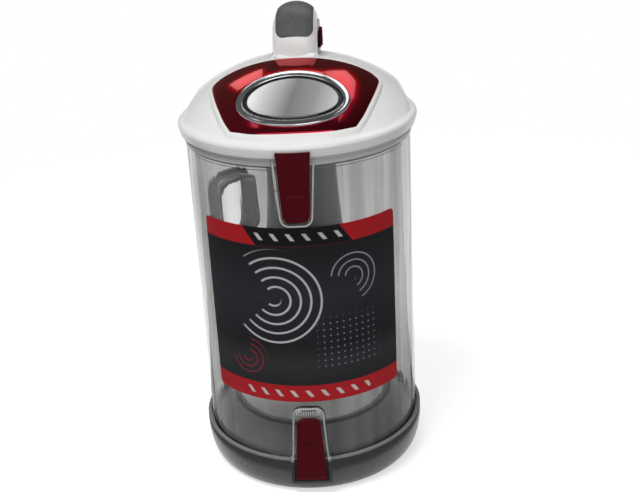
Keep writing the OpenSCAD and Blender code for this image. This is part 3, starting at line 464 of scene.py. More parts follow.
def make_scuff_group():
    """Hairline scuffs that only show in the gloss."""
    group, start, end = new_group(
        "Hairline Scuffs",
        [("Vector", "NodeSocketVector", (0, 0, 0)), ("Scale", "NodeSocketFloat", 60.0)],
        [("Mask", "NodeSocketFloat")],
    )
    stretch = add(group, "ShaderNodeMapping")
    stretch.inputs["Rotation"].default_value = (0.4, 0.2, 0.9)
    stretch.inputs["Scale"].default_value = (1.0, 14.0, 3.0)
    lines = add(group, "ShaderNodeTexNoise", detail=4.0, roughness=0.7)
    group.links.new(start.outputs["Vector"], stretch.inputs["Vector"])
    group.links.new(stretch.outputs[0], lines.inputs["Vector"])
    group.links.new(start.outputs["Scale"], lines.inputs["Scale"])
    group.links.new(ramp(group, lines.outputs["Fac"], [(0.56, 0.0), (0.66, 1.0)]), end.inputs["Mask"])
    return group


def make_dust_group():
    """Dust that settles on faces turned upwards and in broad patches."""
    group, start, end = new_group(
        "Settled Dust",
        [("Vector", "NodeSocketVector", (0, 0, 0)), ("Amount", "NodeSocketFloat", 0.2)],
        [("Mask", "NodeSocketFloat")],
    )
    patches = add(group, "ShaderNodeTexNoise", scale=90.0, detail=5.0, roughness=0.65)
    geometry = add(group, "ShaderNodeNewGeometry")
    split = add(group, "ShaderNodeSeparateXYZ")
    group.links.new(start.outputs["Vector"], patches.inputs["Vector"])
    group.links.new(geometry.outputs["Normal"], split.inputs[0])
    upward = maths(group, "MAXIMUM", split.outputs["Z"], 0.0)
    cloud = ramp(group, patches.outputs["Fac"], [(0.4, 0.0), (0.7, 1.0)])
    mask = maths(group, "MULTIPLY", maths(group, "MULTIPLY", upward, cloud), start.outputs["Amount"])
    group.links.new(mask, end.inputs["Mask"])
    return group


def place_group(tree, group, vector, **values):
    """Puts a group in a material and feeds it the piece's coordinates."""
    node = tree.nodes.new("ShaderNodeGroup")
    node.node_tree = group
    tree.links.new(vector, node.inputs["Vector"])
    for key, value in values.items():
        node.inputs[key.replace("_", " ").title()].default_value = value
    return node


def new_material(name):
    """Material with its shader and the piece's own coordinates."""
    material = bpy.data.materials.new(name)
    material.use_nodes = True
    tree = material.node_tree
    shader = tree.nodes["Principled BSDF"]
    where = tree.nodes.new("ShaderNodeTexCoord").outputs["Object"]
    return material, tree, shader, where


def bump(tree, height, distance, shader, strength=1.0):
    """Sends a height to the shader's normal."""
    node = add(tree, "ShaderNodeBump")
    node.inputs["Strength"].default_value = strength
    node.inputs["Distance"].default_value = distance
    tree.links.new(height, node.inputs["Height"])
    tree.links.new(node.outputs[0], shader.inputs["Normal"])
    return node


def darker(colour, share):
    return tuple(channel * share for channel in colour)


def moulded(
    name, colour, gloss, groups, grain=2400.0, depth=0.00003, dust=0.1, coat=0.0, drift=0.06, scuffs=0.12, shine=0.5
):
    """Finish of a moulded plastic part: tone drift, grain, hairline scuffs and dust."""
    material, tree, shader, where = new_material(name)
    texture = place_group(tree, groups["grain"], where, grain_scale=grain)
    tone = mixed(tree, texture.outputs["Drift"], darker(colour, 1 - drift), darker(colour, 1 + drift))
    film = place_group(tree, groups["dust"], where, amount=dust)
    tree.links.new(mixed(tree, film.outputs["Mask"], tone, (0.5, 0.49, 0.47)), shader.inputs["Base Color"])
    marks = place_group(tree, groups["scuffs"], where)
    rough = maths(tree, "MULTIPLY_ADD", marks.outputs["Mask"], scuffs)
    rough.node.inputs[2].default_value = gloss
    tree.links.new(maths(tree, "MAXIMUM", rough, film.outputs["Mask"]), shader.inputs["Roughness"])
    shader.inputs["IOR"].default_value = 1.47
    shader.inputs["Specular IOR Level"].default_value = shine
    if coat:
        shader.inputs["Coat Weight"].default_value = coat
        shader.inputs["Coat Roughness"].default_value = 0.06
    bump(tree, texture.outputs["Height"], depth, shader)
    return material


# Finishes of this bin


def lets_light_in(tree, shader, tint):
    """Lets lamps shine through a clear wall."""
    output = tree.nodes["Material Output"]
    path = add(tree, "ShaderNodeLightPath")
    through = add(tree, "ShaderNodeBsdfTransparent")
    through.inputs["Color"].default_value = tint + (1.0,)
    mix = add(tree, "ShaderNodeMixShader")
    tree.links.new(path.outputs["Is Shadow Ray"], mix.inputs[0])
    tree.links.new(shader.outputs[0], mix.inputs[1])
    tree.links.new(through.outputs[0], mix.inputs[2])
    tree.links.new(mix.outputs[0], output.inputs["Surface"])


def clear_wall(groups, smoke):
    """Greyish clear plastic, with faint scuffs and a slight ripple."""
    material, tree, shader, where = new_material("Smoky Clear Wall")
    stretch = add(tree, "ShaderNodeMapping")
    stretch.inputs["Scale"].default_value = (1.0, 1.0, 0.05)
    tree.links.new(where, stretch.inputs["Vector"])
    ripple = add(tree, "ShaderNodeTexNoise", scale=70.0, detail=2.0)
    tree.links.new(stretch.outputs[0], ripple.inputs["Vector"])
    tone = ramp(tree, ripple.outputs["Fac"], [(0.36, darker(smoke, 0.84)), (0.5, smoke), (0.62, darker(smoke, 1.1))])
    tree.links.new(tone, shader.inputs["Base Color"])
    marks = place_group(tree, groups["scuffs"], where, scale=45.0)
    rough = maths(tree, "MULTIPLY_ADD", marks.outputs["Mask"], 0.05)
    rough.node.inputs[2].default_value = 0.03
    tree.links.new(rough, shader.inputs["Roughness"])
    shader.inputs["Transmission Weight"].default_value = 1.0
    shader.inputs["IOR"].default_value = 1.45
    bump(tree, ripple.outputs["Fac"], 0.0004, shader)
    lets_light_in(tree, shader, darker(smoke, 1.2))
    return material


def frosted_clear_painted_highlight(name, groups, smoke):
    """Frosted clear plastic with a fine matt texture; its pale tone is partly its own and partly a painted highlight
    that makes the clear lips, ribs and rim band show as light lines.
    """
    material, tree, shader, where = new_material(name)
    texture = place_group(tree, groups["grain"], where, grain_scale=2600.0)
    # pale tone: partly the plastic's own, partly a painted highlight along the clear edges
    tree.links.new(
        mixed(tree, texture.outputs["Drift"], darker(smoke, 1.2), darker(smoke, 1.38)), shader.inputs["Base Color"]
    )
    shader.inputs["Roughness"].default_value = 0.3
    shader.inputs["Transmission Weight"].default_value = 0.45
    shader.inputs["IOR"].default_value = 1.45
    bump(tree, texture.outputs["Height"], 0.00008, shader)
    lets_light_in(tree, shader, darker(smoke, 1.2))
    return material


def metal(name, colour, gloss, groups, brushed=0.0, coat=0.0, scuffs=0.1, edge=(1.0, 1.0, 1.0)):
    """Bare or lacquered metal with fine scuffs."""
    material, tree, shader, where = new_material(name)
    texture = place_group(tree, groups["grain"], where, grain_scale=3200.0, drift_scale=30.0)
    tone = mixed(tree, texture.outputs["Drift"], darker(colour, 0.93), darker(colour, 1.04))
    tree.links.new(tone, shader.inputs["Base Color"])
    shader.inputs["Metallic"].default_value = 1.0
    if coat:
        shader.inputs["Coat Weight"].default_value = coat
        shader.inputs["Coat Roughness"].default_value = 0.04
    marks = place_group(tree, groups["scuffs"], where, scale=80.0)
    rough = maths(tree, "MULTIPLY_ADD", marks.outputs["Mask"], scuffs)
    rough.node.inputs[2].default_value = gloss
    tree.links.new(rough, shader.inputs["Roughness"])
    shader.inputs["Specular Tint"].default_value = edge + (1.0,)
    height = texture.outputs["Height"]
    if brushed:
        stretch = add(tree, "ShaderNodeMapping")
        stretch.inputs["Scale"].default_value = (1.0, 60.0, 60.0)
        lines = add(tree, "ShaderNodeTexNoise", scale=brushed, detail=4.0, roughness=0.7)
        tree.links.new(where, stretch.inputs["Vector"])
        tree.links.new(stretch.outputs[0], lines.inputs["Vector"])
        height = lines.outputs["Fac"]
    bump(tree, height, 0.00002, shader)
    return material


def soft_touch(groups, colour):
    """Matt grip rubber with a fine stipple."""
    material, tree, shader, where = new_material("Soft Grip Rubber")
    texture = place_group(tree, groups["grain"], where, grain_scale=1500.0)
    film = place_group(tree, groups["dust"], where, amount=0.1)
    tone = mixed(tree, texture.outputs["Drift"], darker(colour, 0.9), darker(colour, 1.12))
    tone = mixed(tree, texture.outputs["Speck"], tone, darker(colour, 1.3))
    tree.links.new(mixed(tree, film.outputs["Mask"], tone, (0.4, 0.4, 0.38)), shader.inputs["Base Color"])
    rough = maths(tree, "MULTIPLY_ADD", texture.outputs["Height"], 0.16)
    rough.node.inputs[2].default_value = 0.42
    tree.links.new(rough, shader.inputs["Roughness"])
    bump(tree, texture.outputs["Height"], 0.00012, shader)
    return material


def silver_with_painted_reflection(material):
    """Turns a brushed metal into a plain silver with a painted reflection in its colour: light at the left, dark right
    of the middle, paler at the right.
    """
    tree = material.node_tree
    shader = tree.nodes["Principled BSDF"]
    where = add(tree, "ShaderNodeTexCoord").outputs["Object"]
    split = add(tree, "ShaderNodeSeparateXYZ")
    tree.links.new(where, split.inputs[0])
    lean = maths(tree, "MULTIPLY_ADD", split.outputs["Y"], -0.25)
    tree.links.new(split.outputs["X"], lean.node.inputs[2])
    share = maths(tree, "MULTIPLY_ADD", lean, 13.0)
    share.node.inputs[2].default_value = 0.34
    # painted reflection: the plate's tone runs from light at the left to dark and paler again at the right
    painted_reflection_tone = ramp(
        tree,
        share,
        [(0.0, (1.0, 1.0, 1.0)), (0.25, (0.55, 0.55, 0.56)), (0.5, (0.2, 0.2, 0.21)),
         (0.72, (0.3, 0.3, 0.31)), (1.0, (0.66, 0.66, 0.67))],
    )
    streak = add(tree, "ShaderNodeMapping")
    streak.inputs["Scale"].default_value = (1.0, 40.0, 40.0)
    lines = add(tree, "ShaderNodeTexNoise", scale=60.0, detail=3.0, roughness=0.7)
    tree.links.new(where, streak.inputs["Vector"])
    tree.links.new(streak.outputs[0], lines.inputs["Vector"])
    brushed = ramp(tree, lines.outputs["Fac"], [(0.3, (0.86, 0.86, 0.86)), (0.7, (1.1, 1.1, 1.1))])
    mix = add(tree, "ShaderNodeMix")
    mix.data_type = "RGBA"
    mix.blend_type = "MULTIPLY"
    mix.inputs[0].default_value = 1.0
    tree.links.new(painted_reflection_tone, mix.inputs[6])
    tree.links.new(brushed, mix.inputs[7])
    tree.links.new(mix.outputs[2], shader.inputs["Base Color"])
    shader.inputs["Metallic"].default_value = 0.0
    shader.inputs["Specular IOR Level"].default_value = 0.2
    return material


def painted_press_lines(material):
    """Fine pressed lines across the two latches, drawn in colour alone: a painted highlight along the upper latch's
    crease and a painted shadow in the lower latch's slot.
    """
    tree = material.node_tree
    shader = tree.nodes["Principled BSDF"]
    where = add(tree, "ShaderNodeTexCoord").outputs["Object"]
    split = add(tree, "ShaderNodeSeparateXYZ")
    tree.links.new(where, split.inputs[0])
    x, z = split.outputs["X"], split.outputs["Z"]
    bow = maths(tree, "MULTIPLY_ADD", maths(tree, "MULTIPLY", x, x), 28.0)
    tree.links.new(z, bow.node.inputs[2])
    # painted highlight: a lighter curved line along the upper latch's crease
    upper = maths(tree, "MULTIPLY", band_mask(tree, bow, 0.2562, 0.2566, 0.0002), band_mask(tree, x, -0.0064, 0.0064))
    # painted shadow: a dark line in the lower latch's slot
    lower = maths(tree, "MULTIPLY", band_mask(tree, z, 0.0486, 0.0493, 0.0001), band_mask(tree, x, -0.0032, 0.0032))
    base = shader.inputs["Base Color"].links[0].from_socket
    tone = mixed(tree, maths(tree, "MULTIPLY", upper, 0.35), base, (0.30, 0.06, 0.07))
    tree.links.new(mixed(tree, lower, tone, (0.004, 0.0, 0.001)), shader.inputs["Base Color"])
    return material


def radius_of(tree, where):
    """Distance from the middle axis, and the height."""
    split = add(tree, "ShaderNodeSeparateXYZ")
    tree.links.new(where, split.inputs[0])
    x, y = split.outputs["X"], split.outputs["Y"]
    both = maths(tree, "ADD", maths(tree, "MULTIPLY", x, x), maths(tree, "MULTIPLY", y, y))
    return maths(tree, "SQRT", both), split.outputs["Z"]


def door_painted_light(material):
    """Painted light in the door's colour: a paler conical floor inside the clear wall and a painted highlight along the
    rim's top edge, with a dark ring round the dust floor's edge.
    """
    tree = material.node_tree
    shader = tree.nodes["Principled BSDF"]
    r, z = radius_of(tree, add(tree, "ShaderNodeTexCoord").outputs["Object"])
    tone = shader.inputs["Base Color"].links[0].from_socket
    # painted light: the conical floor inside the clear wall is made paler, as if lit from above
    painted_cone_light = maths(tree, "MULTIPLY", band_mask(tree, r, 0.02, 0.0835, 0.0012), band_mask(tree, z, 0.012, 0.09))
    tone = mixed(tree, maths(tree, "MULTIPLY", painted_cone_light, 0.8), tone, (0.19, 0.194, 0.203))
    # painted highlight along the top edge of the door's rim
    rim = maths(tree, "MULTIPLY", band_mask(tree, r, 0.0884, 0.095, 0.0004), band_mask(tree, z, 0.0316, 0.04, 0.0005))
    tone = mixed(tree, maths(tree, "MULTIPLY", rim, 0.7), tone, (0.28, 0.275, 0.285))
    # dark ring round the dust floor's edge
    dark_ring = maths(tree, "MULTIPLY", band_mask(tree, r, 0.0645, 0.0668, 0.0004), band_mask(tree, z, 0.04, 0.09))
    tree.links.new(mixed(tree, dark_ring, tone, (0.018, 0.018, 0.02)), shader.inputs["Base Color"])
    return material


def make_finishes(colours):
    """All the finishes of the bin by their slots."""
    groups = {"grain": make_grain_group(), "scuffs": make_scuff_group(), "dust": make_dust_group()}
    white = tuple(colours.white)
    red = tuple(colours.latch_red)
    finishes = {
        "clear_plastic": clear_wall(groups, tuple(colours.smoke)),
        "lid_white": moulded("Lid White", white, 0.3, groups, dust=0.03, drift=0.02, coat=0.2),
        # latches: a painted highlight on the upper crease and a painted shadow in the lower slot
        "latch_red": painted_press_lines(
            moulded("Latch Red", red, 0.2, groups, dust=0.02, drift=0.12, scuffs=0.03, shine=0.3)
        ),
        "handle_red": moulded("Handle Red", red, 0.25, groups, dust=0.03, drift=0.12, scuffs=0.05),
        # door: painted light on its conical floor and a painted highlight on its rim
        "door_grey": door_painted_light(
            moulded("Door Grey", tuple(colours.door_grey), 0.26, groups, dust=0.02, depth=0.00001, scuffs=0.02)
        ),
        "plate_grey": moulded("Floor Plate Grey", tuple(colours.plate_grey), 0.35, groups, dust=0.15, depth=0.00001),
        "dark_plastic": moulded("Airway Dark Plastic", (0.22, 0.221, 0.223), 0.34, groups, dust=0.1),
        "seal_rubber": moulded("Seal Rubber", (0.34, 0.34, 0.335), 0.6, groups, grain=1600.0, depth=0.00008),
        "seal_pale": moulded("Pale Seal", (0.72, 0.72, 0.71), 0.5, groups, grain=1600.0),
        "port_grey": moulded("Port Grey", (0.50, 0.502, 0.505), 0.4, groups, dust=0.2),
        "gloss_black": moulded("Gloss Black", (0.008, 0.008, 0.009), 0.1, groups, dust=0.02, coat=1.0),
        "panel_red": metal(
            "Red Metallic Lacquer", tuple(colours.red_metal), 0.07, groups, coat=0.6, scuffs=0.03, edge=(1.0, 0.3, 0.34)
        ),
        "bright_chrome": metal("Bright Chrome", (0.72, 0.72, 0.74), 0.08, groups),
        # badge plate: brushed silver with a painted reflection in its colour
        "badge_silver": silver_with_painted_reflection(metal("Brushed Silver Painted Reflection", (0.74, 0.74, 0.75), 0.3, groups, brushed=70.0)),
        "pin_steel": metal("Pin Steel", (0.16, 0.15, 0.15), 0.34, groups),
        # pale frosted edges: partly real, partly painted highlights on the clear surrounds
        "frosted_clear_painted_highlight": frosted_clear_painted_highlight("Frosted Clear Painted Edge Highlight", groups, tuple(colours.smoke)),
        "screen_steel": metal("Screen Steel", (0.34, 0.34, 0.35), 0.36, groups),
        "soft_grip": soft_touch(groups, tuple(colours.grip_grey)),
    }
    finishes["label_film"] = make_label_film(groups)
    return finishes


# Stage


def lamp(name, spot, size, power, aim):
    """Soft rectangular lamp that shines at a point."""
    light = bpy.data.lights.new(name, "AREA")
    light.shape = "RECTANGLE"
    light.size, light.size_y = size
    light.energy = power
    holder = bpy.data.objects.new(name, light)
    holder.location = spot
    holder.rotation_euler = (Vector(aim) - Vector(spot)).to_track_quat("-Z", "Y").to_euler()
    bpy.context.scene.collection.objects.link(holder)
    return holder


def shown_white(tree, strength):
    """Emission that only the camera, mirrors and glass see."""
    path = add(tree, "ShaderNodeLightPath")
    seen = maths(tree, "MAXIMUM", path.outputs["Is Camera Ray"], path.outputs["Is Glossy Ray"])
    seen = maths(tree, "MAXIMUM", seen, path.outputs["Is Transmission Ray"])
    glow = add(tree, "ShaderNodeEmission")
    tree.links.new(maths(tree, "MULTIPLY", seen, strength), glow.inputs["Strength"])
    return glow.outputs[0]


def make_floor():
    """Plain pale floor that keeps the bin's shadow."""
    bpy.ops.object.select_all(action="DESELECT")
    bpy.ops.mesh.primitive_circle_add(vertices=96, radius=7.0, fill_type="NGON", location=(0, 0, -0.0004))
    floor = bpy.context.object
    floor.name = "stage_floor"
    material = bpy.data.materials.new("Pale Floor")
    material.use_nodes = True
    tree = material.node_tree
    tree.nodes.remove(tree.nodes["Principled BSDF"])
    matt = add(tree, "ShaderNodeBsdfDiffuse")
    both = add(tree, "ShaderNodeAddShader")
    tree.links.new(matt.outputs[0], both.inputs[0])
    away = radius_of(tree, add(tree, "ShaderNodeTexCoord").outputs["Object"])[0]
    far = band_mask(tree, away, 0.62, 100.0, 0.3)
    tree.links.new(mixed(tree, far, (0.8, 0.8, 0.8), (0.0, 0.0, 0.0)), matt.inputs["Color"])
    strength = maths(tree, "MULTIPLY_ADD", far, 0.46)
    strength.node.inputs[2].default_value = 0.54
    tree.links.new(shown_white(tree, strength), both.inputs[1])
    tree.links.new(both.outputs[0], tree.nodes["Material Output"].inputs["Surface"])
    floor.data.materials.append(material)


def make_world(soft):
    """White surroundings for the eye, mirrors and glass, and soft light for the rest."""
    world = bpy.data.worlds.new("White Surround")
    bpy.context.scene.world = world
    world.use_nodes = True
    tree = world.node_tree
    path = add(tree, "ShaderNodeLightPath")
    seen = maths(tree, "MAXIMUM", path.outputs["Is Camera Ray"], path.outputs["Is Glossy Ray"])
    seen = maths(tree, "MAXIMUM", seen, path.outputs["Is Transmission Ray"])
    tree.links.new(
        mixed(tree, seen, (soft, soft, soft), (1.0, 1.0, 1.0)), tree.nodes["Background"].inputs["Color"]
    )


def mirror_only(card):
    """Shows a card to reflections alone, so that it throws no light and no shadow."""
    card.visible_camera = False
    card.visible_diffuse = False
    card.visible_shadow = False
    card.visible_transmission = False


def glow_material(name, shade, far_shade, axis):
    """Plain glowing card, with a soft change of tone along one axis."""
    material = bpy.data.materials.new(name)
    material.use_nodes = True
    tree = material.node_tree
    tree.nodes.remove(tree.nodes["Principled BSDF"])
    where = add(tree, "ShaderNodeTexCoord").outputs["Object"]
    split = add(tree, "ShaderNodeSeparateXYZ")
    tree.links.new(where, split.inputs[0])
    share = maths(tree, "MULTIPLY_ADD", split.outputs[axis], 0.2)
    share.node.inputs[2].default_value = 0.5
    glow = add(tree, "ShaderNodeEmission")
    tree.links.new(mixed(tree, share, (shade,) * 3, (far_shade,) * 3), glow.inputs["Color"])
    tree.links.new(glow.outputs[0], tree.nodes["Material Output"].inputs["Surface"])
    return material


WINDOWS = {
    "stage_window_left": (1.9, ((-0.62, 1.16, 1.00), (-0.34, 1.26, 1.06), (-0.38, 1.10, 1.26), (-0.62, 0.98, 1.22))),
    "stage_window_right": (
        1.9,
        ((0.20, 1.15, 1.26), (0.36, 1.25, 1.08), (0.50, 1.09, 1.20), (0.60, 0.80, 1.45), (0.53, 0.26, 1.69),
         (0.44, 0.62, 1.56), (0.33, 0.92, 1.42)),
    ),
    "stage_front_panel": (1.3, ((-1.3, -1.75, 0.95), (1.3, -1.75, 0.95), (1.1, -1.15, 1.75), (-1.1, -1.15, 1.75))),
    "stage_window_front": (1.7, ((-0.64, 0.36, 1.62), (-0.52, 0.30, 1.68), (-0.58, 0.13, 1.70))),
    "stage_window_top": (2.6, ((-0.35, 1.13, 1.26), (0.20, 1.13, 1.28), (0.20, 0.99, 1.43), (-0.35, 0.99, 1.41))),
}


def make_windows():
    """Bright panes of the room, seen by reflections alone."""
    for name, (shade, corners) in WINDOWS.items():
        mesh = bpy.data.meshes.new(name)
        mesh.from_pydata(corners, [], [tuple(range(len(corners)))])
        pane = bpy.data.objects.new(name, mesh)
        bpy.context.scene.collection.objects.link(pane)
        pane.data.materials.append(glow_material(name, shade, shade, "X"))
        mirror_only(pane)


def make_cards():
    """Dark studio backdrop overhead and a dark card on the floor in front, for the reflections."""
    bpy.ops.object.select_all(action="DESELECT")
    bpy.ops.mesh.primitive_uv_sphere_add(segments=48, ring_count=24, radius=2.5)
    dome = bpy.context.object
    dome.name = "stage_backdrop"
    only(dome)
    bpy.ops.object.mode_set(mode="EDIT")
    bpy.ops.mesh.select_all(action="SELECT")
    bpy.ops.mesh.bisect(plane_co=(0, 0, 0.35), plane_no=(0, 0, 1), clear_inner=True)
    bpy.ops.object.mode_set(mode="OBJECT")
    dome.data.materials.append(glow_material("Dark Backdrop", 0.15, 0.05, "X"))
    mirror_only(dome)
    turns, reach = 56, (0.112, 1.8)

    def where(u, v):
        turn = math.radians(-212 + 244 * u)
        r = reach[0] * (reach[1] / reach[0]) ** v
        return (r * math.cos(turn), r * math.sin(turn), 0.001)

    card = grid_piece("stage_card", turns, 8, where)
    card.data.materials.append(glow_material("Dark Card", 0.16, 0.1, "X"))
    mirror_only(card)


class DUSTBIN_OT_stage(bpy.types.Operator):
    """Sets the camera, the lamps, the floor and the surroundings"""

    bl_idname = "dustbin.stage"
    bl_label = "Stage"

    def execute(self, context):
        settings = context.scene.dustbin_stage
        right, back = Vector(settings.right).normalized(), Vector(settings.back).normalized()
        up = back.cross(right)
        turn = Matrix((right, up, back)).transposed().to_4x4()
        camera = bpy.data.cameras.new("camera")
        camera.lens = settings.lens
        camera.sensor_width = 36.0
        camera.clip_start = 0.01
        holder = bpy.data.objects.new("camera", camera)
        holder.matrix_world = Matrix.Translation(settings.eye) @ turn
        context.scene.collection.objects.link(holder)
        context.scene.camera = holder
        context.scene.view_settings.view_transform = "Standard"
        middle = (0, 0, 0.2)
        soft_key = lamp("key_lamp", (-0.45, -0.55, 1.75), (0.8, 0.6), settings.key_power, middle)
        lamp("fill_lamp", (0.5, -1.5, 0.75), (1.0, 0.8), settings.fill_power, middle)
        rear = lamp("rear_lamp", (0.2, 1.3, 1.4), (1.2, 0.6), settings.fill_power, middle)
        soft_key.visible_glossy = rear.visible_glossy = False
        make_floor()
        make_cards()
        make_windows()
        make_world(0.36)
        return {"FINISHED"}


FINISHES = {}


class HandleSizes(bpy.types.PropertyGroup):
    half_w: FloatProperty(name="Half width", description="Half width of the upper shell", default=0.0176, unit="LENGTH")
    belly_half_w: FloatProperty(
        name="Lower half width", description="Half width of the lower shell", default=0.0172, unit="LENGTH"
    )
    crown_t: FloatProperty(
        name="Upper thickness", description="Thickness of the upper shell", default=0.0088, unit="LENGTH"
    )
    belly_t: FloatProperty(
        name="Lower thickness", description="Thickness of the lower shell", default=0.0092, unit="LENGTH"
    )
    front_y: FloatProperty(
        name="Front leg", description="Parting line of the front leg", default=0.024, unit="LENGTH"
    )
    rear_y: FloatProperty(name="Rear leg", description="Parting line of the rear leg", default=0.083, unit="LENGTH")
    bend_z: FloatProperty(name="Bend height", description="Height where the bends begin", default=0.3312, unit="LENGTH")
    bend_r: FloatProperty(name="Bend radius", description="Radius of both bends", default=0.020, unit="LENGTH")
    front_foot_z: FloatProperty(
        name="Front foot", description="Height of the front foot", default=0.3316, unit="LENGTH"
    )
    rear_foot_z: FloatProperty(name="Rear foot", description="Height of the rear foot", default=0.325, unit="LENGTH")
    pad_half_w: FloatProperty(
        name="Grip half width", description="Half width of the soft grip", default=0.0148, unit="LENGTH"
    )
    pad_rise: FloatProperty(
        name="Grip rise", description="Height of the soft grip above the shell", default=0.0007, unit="LENGTH"
    )
    grip_from_z: FloatProperty(
        name="Grip start", description="Height where the soft grip begins at the front", default=0.3412, unit="LENGTH"
    )
    crown_swell: FloatProperty(
        name="Crown swell", description="How much fuller the upper shell is at the top", default=0.7, subtype="FACTOR"
    )
    rear_half_w: FloatProperty(
        name="Rear half width", description="Half width of the lower shell at its rear foot", default=0.0192, unit="LENGTH"
    )


# Shapes that the lid's pieces share


def grid_piece(name, columns, rows, where, solid=True):
    """Grid of quads whose corners lie at where(u, v), with u and v from 0 to 1."""
    bpy.ops.object.select_all(action="DESELECT")
    bpy.ops.mesh.primitive_grid_add(x_subdivisions=columns, y_subdivisions=rows, size=1)
    piece = bpy.context.object
    piece.name = name
    for vertex in piece.data.vertices:
        u, v = vertex.co.x + 0.5, vertex.co.y + 0.5
        vertex.co = where(round(u * columns) / columns, round(v * rows) / rows)
    if solid:
        close_mesh(piece)
    return piece


def along(points, share):
    """Point at a share of the way along a list of points, by index."""
    place_on = share * (len(points) - 1)
    index = min(int(place_on), len(points) - 2)
    rest = place_on - index
    return tuple(a + (b - a) * rest for a, b in zip(points[index], points[index + 1]))


def dome_z(x, y, grow=0.0):
    """Height of the dome, grown outwards."""
    sizes = bpy.context.scene.dustbin_lid
    cross = sizes.dome_rx + grow
    radius = sizes.dome_ry - sizes.dome_rx + math.sqrt(max(cross * cross - x * x, 0.0))
    return sizes.dome_top - sizes.dome_ry + math.sqrt(max(radius * radius - (y - sizes.dome_back) ** 2, 0.0))


LID_EDGE_Z = 0.284
SPREAD = 22
RIM_STEPS = 22
RIM_FROM = 0.080


def shoulder_limit(r, y):
    """Height that the dome's shoulders may have near the rim, freed towards the rear."""
    sizes = bpy.context.scene.dustbin_lid
    rear = min(max((y - 0.015) / 0.035, 0.0), 1.0)
    foot_r = sizes.shoulder_r + 0.008 * rear * rear * (3 - 2 * rear)
    return rim_top() + (foot_r - r) * 2.1


def rim_top():
    sizes = bpy.context.scene.dustbin_lid
    return LID_EDGE_Z + sizes.taper_h + sizes.rim_round


def blend_max(a, b, width=0.0012):
    """Larger of two heights, with a soft valley between them."""
    gap = max(width - abs(a - b), 0.0) / width
    return max(a, b) + gap * gap * width / 4


def lid_top(r, angle):
    """Height of the lid's outer surface before its edge is rounded."""
    sizes = bpy.context.scene.dustbin_lid
    x, y = r * math.cos(angle), r * math.sin(angle)
    dome = -blend_max(-dome_z(x, y), -shoulder_limit(r, y), 0.0025)
    ramp = rim_top() - max(sizes.outer_r - sizes.rim_w - r, 0.0)
    return blend_max(dome, ramp)


def lid_section(angle):
    """Closed profile of the lid in one direction, from the middle out and back."""
    sizes = bpy.context.scene.dustbin_lid
    c, s = math.cos(angle), math.sin(angle)
    reach = sizes.outer_r - RIM_FROM
    radii = [RIM_FROM * i / SPREAD for i in range(SPREAD)]
    radii += [RIM_FROM + reach * math.sin(math.pi / 2 * i / RIM_STEPS) for i in range(RIM_STEPS + 1)]
    points = []
    for r in radii:
        past = max(r - (sizes.outer_r - sizes.rim_round), 0.0)
        drop = sizes.rim_round - math.sqrt(max(sizes.rim_round**2 - past * past, 0.0))
        points.append((r, lid_top(r, angle) - drop))
    lip = 0.0005
    edge_top = LID_EDGE_Z + sizes.taper_h
    points += [(sizes.outer_r, edge_top), (sizes.edge_r + 0.0001, LID_EDGE_Z + lip), (sizes.edge_r - lip, LID_EDGE_Z)]
    inner_r = sizes.edge_r - sizes.wall
    points += [(inner_r + lip, LID_EDGE_Z), (inner_r, LID_EDGE_Z + lip)]
    for i in range(SPREAD, -1, -1):
        r = inner_r * i / SPREAD
        inner = min(dome_z(r * c, r * s, -sizes.wall), lid_top(r, angle) - sizes.wall * 0.8)
        points.append((r, max(inner, LID_EDGE_Z + 2 * lip)))
    return points


def lid_skin():
    """Dome and skirt with a softly rounded edge, as one closed shell."""
    turns = 192
    sections = [lid_section(math.tau * i / turns) for i in range(turns)]
    rows = len(sections[0]) - 1

    def where(u, v):
        turn = round(u * turns) % turns
        radius, height = sections[turn][round(v * rows)]
        angle = math.tau * turn / turns
        return (radius * math.cos(angle), radius * math.sin(angle), height)

    return grid_piece("lid_dome", turns, rows, where)


def latch_notch(skin):
    """Cuts the recess for the lid latch out of the skirt."""
    bpy.ops.object.select_all(action="DESELECT")
    bpy.ops.mesh.primitive_cylinder_add(vertices=256, radius=0.11, depth=0.0084, location=(0, 0, 0.2840))
    cutter = bpy.context.object
    apply_place(cutter)
    bpy.ops.object.select_all(action="DESELECT")
    bpy.ops.mesh.primitive_cylinder_add(vertices=256, radius=0.0902, depth=0.02, location=(0, 0, 0.285))
    core = bpy.context.object
    apply_place(core)
    cut(cutter, core)
    sides = [rounded_box("side", (x0, -0.12, 0.26), (x1, 0.12, 0.31), 0.0002, 1) for x0, x1 in ((-0.12, -0.0129), (0.0129, 0.12))]
    back = rounded_box("back", (-0.12, -0.02, 0.26), (0.12, 0.12, 0.31), 0.0002, 1)
    for block in (*sides, back):
        cut(cutter, block)
    cut(skin, cutter)
    return rounded_box("seat", (-0.0152, -0.0902, 0.2843), (0.0152, -0.0868, 0.2896), 0.0003, 2)


def outline_corner(before, corner, after, radius, steps=7):
    """Points that round one corner of an outline."""
    a, b = before - corner, after - corner
    turn = a.angle(b)
    if turn > math.radians(150):
        radius = 1.0
    reach = min(radius / max(math.tan(turn / 2), 0.05), 0.49 * min(a.length, b.length))
    start, end = corner + a.normalized() * reach, corner + b.normalized() * reach
    return [(1 - t) ** 2 * start + 2 * t * (1 - t) * corner + t * t * end for t in (i / steps for i in range(steps + 1))]


PANEL_SIDE = (
    (16.0, -79.0), (31.0, -75.2), (45.5, -67.2), (51.5, -55.0), (58.5, -33.0), (63.0, -13.0),
    (64.8, 0.5), (59.0, 7.5), (46.0, 12.0), (24.0, 12.5),
)
PANEL_CORNERS = ((0.0, -80.2), *PANEL_SIDE, (0.0, 11.5), *((-x, y) for x, y in reversed(PANEL_SIDE)))
PANEL_STEPS = 176


